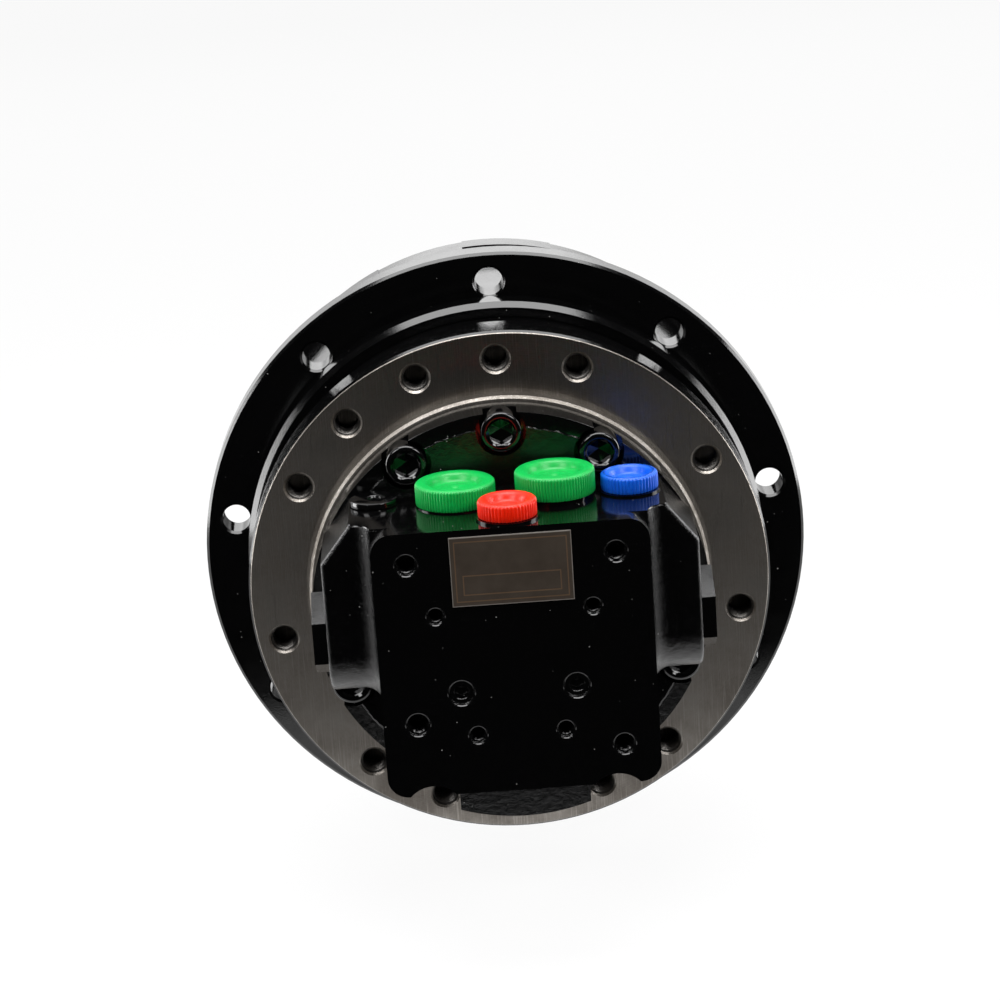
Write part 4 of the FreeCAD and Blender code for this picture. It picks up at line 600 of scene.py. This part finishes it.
# ---- Port block screws -----------------------------------------------------------------------
# Socket-head screws that clamp the port block to the spindle, enamelled over with the casting. The
# head's edge is rounded and the hexagon has a turned lead-in.
def socket_head(centre, seat, radius, height, across, socket_depth, shank_radius, shank_length):
    """A closed surface about a line along Y.

    Each profile row has a circle's radius, a depth and a share of hexagon; the radius at an angle is
    the circle's, pulled by that share towards a hexagon whose flats lie at the same distance.
    """
    flats = across / 2
    profile = np.array([
        (0.0, shank_length, 0), (shank_radius - 0.001, shank_length, 0), (shank_radius, shank_length - 0.001, 0),
        (shank_radius, 0.0, 0), (radius - 0.0004, 0.0, 0), (radius, -0.0004, 0),
        (radius, -height + 0.0012, 0), (radius - 0.0003, -height + 0.0005, 0), (radius - 0.0010, -height, 0),
        (flats * 1.36, -height, 0), (flats * 1.28, -height + 0.0001, 0), (flats * 1.16, -height + 0.0009, 0.4),
        (flats, -height + 0.0013, 1), (flats, -height + socket_depth, 1), (0.0, -height + socket_depth + 0.0012, 0)])
    around = 72
    u = np.linspace(0, 2 * np.pi, around, endpoint=False)[None, :]
    hexagon = 1 / np.cos(np.mod(u, np.pi / 3) - np.pi / 6)
    r = profile[:, :1] * (1 + profile[:, 2:] * (hexagon - 1))
    x = centre[0] + r * np.sin(u)
    z = centre[1] + r * np.cos(u)
    y = seat + profile[:, 1:2] + 0 * u
    points = np.stack([x, y, z], axis=-1).reshape(-1, 3)
    row = np.arange(len(profile) - 1)[:, None] * around
    col = np.arange(around)[None, :]
    after = (col + 1) % around
    faces = np.stack([row + col, row + col + around, row + after + around, row + after], axis=-1)
    return points, faces.reshape(-1, 4)


screw_circle = 0.0795
screw_seat = -0.018
screws = []
for clock in (0, 32, 113.4, 148, -148, -113.4, -32):
    angle = math.radians(clock)
    centre = (screw_circle * math.sin(angle), screw_circle * math.cos(angle))
    screws.append(socket_head(centre, screw_seat, 0.009, 0.012, 0.010, 0.006, 0.00585, 0.022))
screw_piece = make_piece("port_block_screws_turned", screws, turned_paint)
screw_piece.data.set_sharp_from_angle(angle=math.radians(40))
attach(screw_piece, "spindle_body")
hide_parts("rear_cover_screws")


# ---- Tapped holes and plugs of the port block --------------------------------------------------
# Tapped holes for the hose bracket and the guard, two socket plugs that close drilled galleries, and
# a low round gauge plug on the port face. They were enamelled with the block.
hole_pairs = ((0.0442, 0.0410, 0.00425), (0.0333, 0.0175, 0.0033), (0.0188, -0.0370, 0.0034))
tapped = [(side * x, z, r) for x, z, r in hole_pairs for side in (-1, 1)]
tapped += [(-0.0440, -0.0305, 0.0046), (0.0434, -0.0455, 0.00425)]
liners = [internal_thread(r, 0.00125, 0.0147, -0.0871, (x, z)) for x, z, r in tapped]
block_threads = make_piece("tapped_hole_threads", liners, turned_paint)
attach(block_threads, "spindle_body")


def socket_plug(centre, face, radius, length, across, socket_depth, rounding):
    """A closed round plug with a hexagon socket, about a line along Y; face is where its end lies."""
    flats = across / 2
    profile = np.array([
        (0.0, length, 0), (radius - 0.0005, length, 0), (radius, length - 0.0005, 0),
        (radius, rounding, 0), (radius - 0.3 * rounding, 0.3 * rounding, 0), (radius - rounding, 0.0, 0),
        (flats * 1.34, 0.0, 0), (flats * 1.24, 0.0002, 0), (flats * 1.10, 0.0007, 0.6),
        (flats, 0.0011, 1), (flats, socket_depth, 1), (0.0, socket_depth + 0.0008, 0)])
    around = 96
    u = np.linspace(0, 2 * np.pi, around, endpoint=False)[None, :]
    hexagon = 1 / np.cos(np.mod(u, np.pi / 3) - np.pi / 6)
    r = profile[:, :1] * (1 + profile[:, 2:] * (hexagon - 1))
    x = centre[0] + r * np.sin(u)
    z = centre[1] + r * np.cos(u)
    y = face + profile[:, 1:2] + 0 * u
    points = np.stack([x, y, z], axis=-1).reshape(-1, 3)
    row = np.arange(len(profile) - 1)[:, None] * around
    col = np.arange(around)[None, :]
    after = (col + 1) % around
    faces = np.stack([row + col, row + col + around, row + after + around, row + after], axis=-1)
    return points, faces.reshape(-1, 4)


gauge_x = -0.0569
gauge_y = -0.0416
gauge_radius = 0.0104
gauge_height = 0.0030
gauge_stem = 0.0090
plugs = [socket_plug((side * 0.0246, -0.0175), -0.0868, 0.00505, 0.0098, 0.005, 0.0042, 0.0004) for side in (-1, 1)]
head_points, head_faces = socket_plug((0.0, 0.0), 0.0, gauge_radius, gauge_height, 0.005, 0.0022, 0.0008)
stem_points, stem_faces = socket_plug((0.0, 0.0), 0.0, 0.0073, gauge_stem, 0.003, 0.0006, 0.0003)
for some_points, some_faces, top in ((head_points, head_faces, port_face + gauge_height),
                                     (stem_points, stem_faces, port_face + 0.0004)):
    upright = np.stack([gauge_x + some_points[:, 0], gauge_y + some_points[:, 2], top - some_points[:, 1]], axis=-1)
    plugs.append((upright, some_faces))
plug_piece = make_piece("gallery_plugs_turned", plugs, turned_paint)
plug_piece.data.set_sharp_from_angle(angle=math.radians(35))
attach(plug_piece, "spindle_body")
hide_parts("gallery_plugs")


# ---- Name plate ------------------------------------------------------------------------------
# A thin anodised plate glued to the block's front. It carries only an empty etched frame, worn
# through to a coppery ground, and its colour is paler in a thin band along its edges.
plate_low, plate_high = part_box("name_plate")
plate_middle = ((plate_low.x + plate_high.x) / 2, (plate_low.z + plate_high.z) / 2)


def outline(tree, axes, centre, half_width, half_height, line):
    """A rectangle's outline on the XZ plane: near its edge and not past it, on either axis."""
    reach = []
    for socket, middle, half in (("X", centre[0], half_width), ("Z", centre[1], half_height)):
        away = combine(tree, "ABSOLUTE", combine(tree, "SUBTRACT", axes.outputs[socket], middle), 0.0)
        reach.append(combine(tree, "SUBTRACT", away, half))
    distance = combine(tree, "MAXIMUM", reach[0], reach[1])
    distance = combine(tree, "ABSOLUTE", distance, 0.0)
    return ramp_mask(tree, distance, line, line * 0.6)


plate_metal, tree, shader, coords, detail = new_finish("anodised_plate", (0.08, 0.06, 0.045), 0.6, 0.45)
detail.inputs["Coarse Scale"].default_value = 120.0
axes = tree.nodes.new("ShaderNodeSeparateXYZ")
tree.links.new(coords.outputs["Object"], axes.inputs[0])
border = outline(tree, axes, plate_middle, 0.0236, 0.0131, 0.0003)
field = outline(tree, axes, (plate_middle[0], plate_middle[1] - 0.0060), 0.0205, 0.0042, 0.0003)
etched = combine(tree, "MULTIPLY", combine(tree, "MAXIMUM", border, field), 0.55)
# The plate's colour is made paler in a thin band along its edges.
pale_edge_band = outline(tree, axes, plate_middle, (plate_high.x - plate_low.x) / 2, (plate_high.z - plate_low.z) / 2, 0.0004)
base = blend_colour(tree, detail.outputs["Coarse"], (0.075, 0.056, 0.042), (0.125, 0.10, 0.078), shader)
for mask, colour in ((etched, (0.30, 0.17, 0.09)), (combine(tree, "MULTIPLY", pale_edge_band, 0.7), (0.5, 0.46, 0.42))):
    layer = tree.nodes.new("ShaderNodeMix")
    layer.data_type = "RGBA"
    layer.inputs[7].default_value = (*colour, 1)
    tree.links.new(mask, layer.inputs["Factor"])
    tree.links.new(base.outputs[2], layer.inputs[6])
    base = layer
tree.links.new(base.outputs[2], shader.inputs["Base Color"])
vary_roughness(tree, detail.outputs["Fine"], 0.4, 0.55, shader)
add_bump(tree, combine(tree, "SUBTRACT", detail.outputs["Fine"], etched), 0.00004, shader)
dress(plate_metal, "name_plate")


# ---- Bearings, gears and motor parts ---------------------------------------------------------
# Everything inside runs in oil: ground and hardened steels, a bronze valve plate and slippers,
# rubber rings and sintered brake linings.
def worked_metal(name, low, high, roughness, scale, metallic=1.0, relief=0.00001):
    """Metal or lining whose colour and polish change slightly over the surface."""
    material, tree, shader, coords, detail = new_finish(name, low, metallic, roughness)
    detail.inputs["Coarse Scale"].default_value = scale
    blend_colour(tree, detail.outputs["Coarse"], low, high, shader)
    vary_roughness(tree, detail.outputs["Fine"], roughness * 0.8, roughness * 1.25, shader)
    add_bump(tree, detail.outputs["Fine"], relief, shader)
    return material


ground = worked_metal("ground_steel", (0.42, 0.42, 0.43), (0.62, 0.62, 0.63), 0.28, 90)
hard = worked_metal("hardened_gear_steel", (0.28, 0.28, 0.29), (0.50, 0.50, 0.50), 0.33, 70)
race = worked_metal("bearing_steel", (0.60, 0.60, 0.61), (0.78, 0.78, 0.79), 0.14, 60)
bronze = worked_metal("bronze", (0.45, 0.29, 0.12), (0.66, 0.45, 0.22), 0.32, 110)
rubber = worked_metal("seal_rubber", (0.012, 0.012, 0.012), (0.03, 0.03, 0.032), 0.7, 150, 0.0, 0.00003)
lining = worked_metal("sintered_lining", (0.16, 0.12, 0.09), (0.30, 0.24, 0.18), 0.75, 800, 0.2, 0.0001)
spring = worked_metal("spring_steel", (0.22, 0.23, 0.25), (0.36, 0.37, 0.40), 0.35, 200)
oxide = worked_metal("black_oxide", (0.02, 0.02, 0.021), (0.05, 0.05, 0.052), 0.4, 140, 0.5)

dress(ground, "drive_shaft", "cylinder_barrel", "swash_plate", "pistons", "retainer_plate", "retainer_guide",
      "control_piston", "counterbalance_spool", "two_speed_spool", "brake_piston", "brake_steel_plates",
      "carrier_1_pins", "stage_2_pins")
dress(hard, "sun_gear_1", "sun_gear_2", "carrier_1", "planet_gear_1a", "planet_gear_1b", "planet_gear_1c",
      "planet_gear_2a", "planet_gear_2b", "planet_gear_2c", "planet_gear_2d")
dress(race, "main_bearing_inner", "main_bearing_outer", "main_bearing_rollers", "shaft_bearing_inner",
      "shaft_bearing_outer", "shaft_bearing_balls", "shaft_needle_bearing", "swash_pivot_balls",
      "planet_1_needles", "planet_2_needles", "face_seal_ring_fixed", "face_seal_ring_turning")
dress(bronze, "valve_plate", "piston_shoes")
dress(rubber, "toric_ring_fixed", "toric_ring_turning", "shaft_seal")
dress(lining, "brake_friction_discs")
dress(spring, "brake_springs", "counterbalance_springs", "two_speed_spring")
dress(oxide, "bearing_nut")
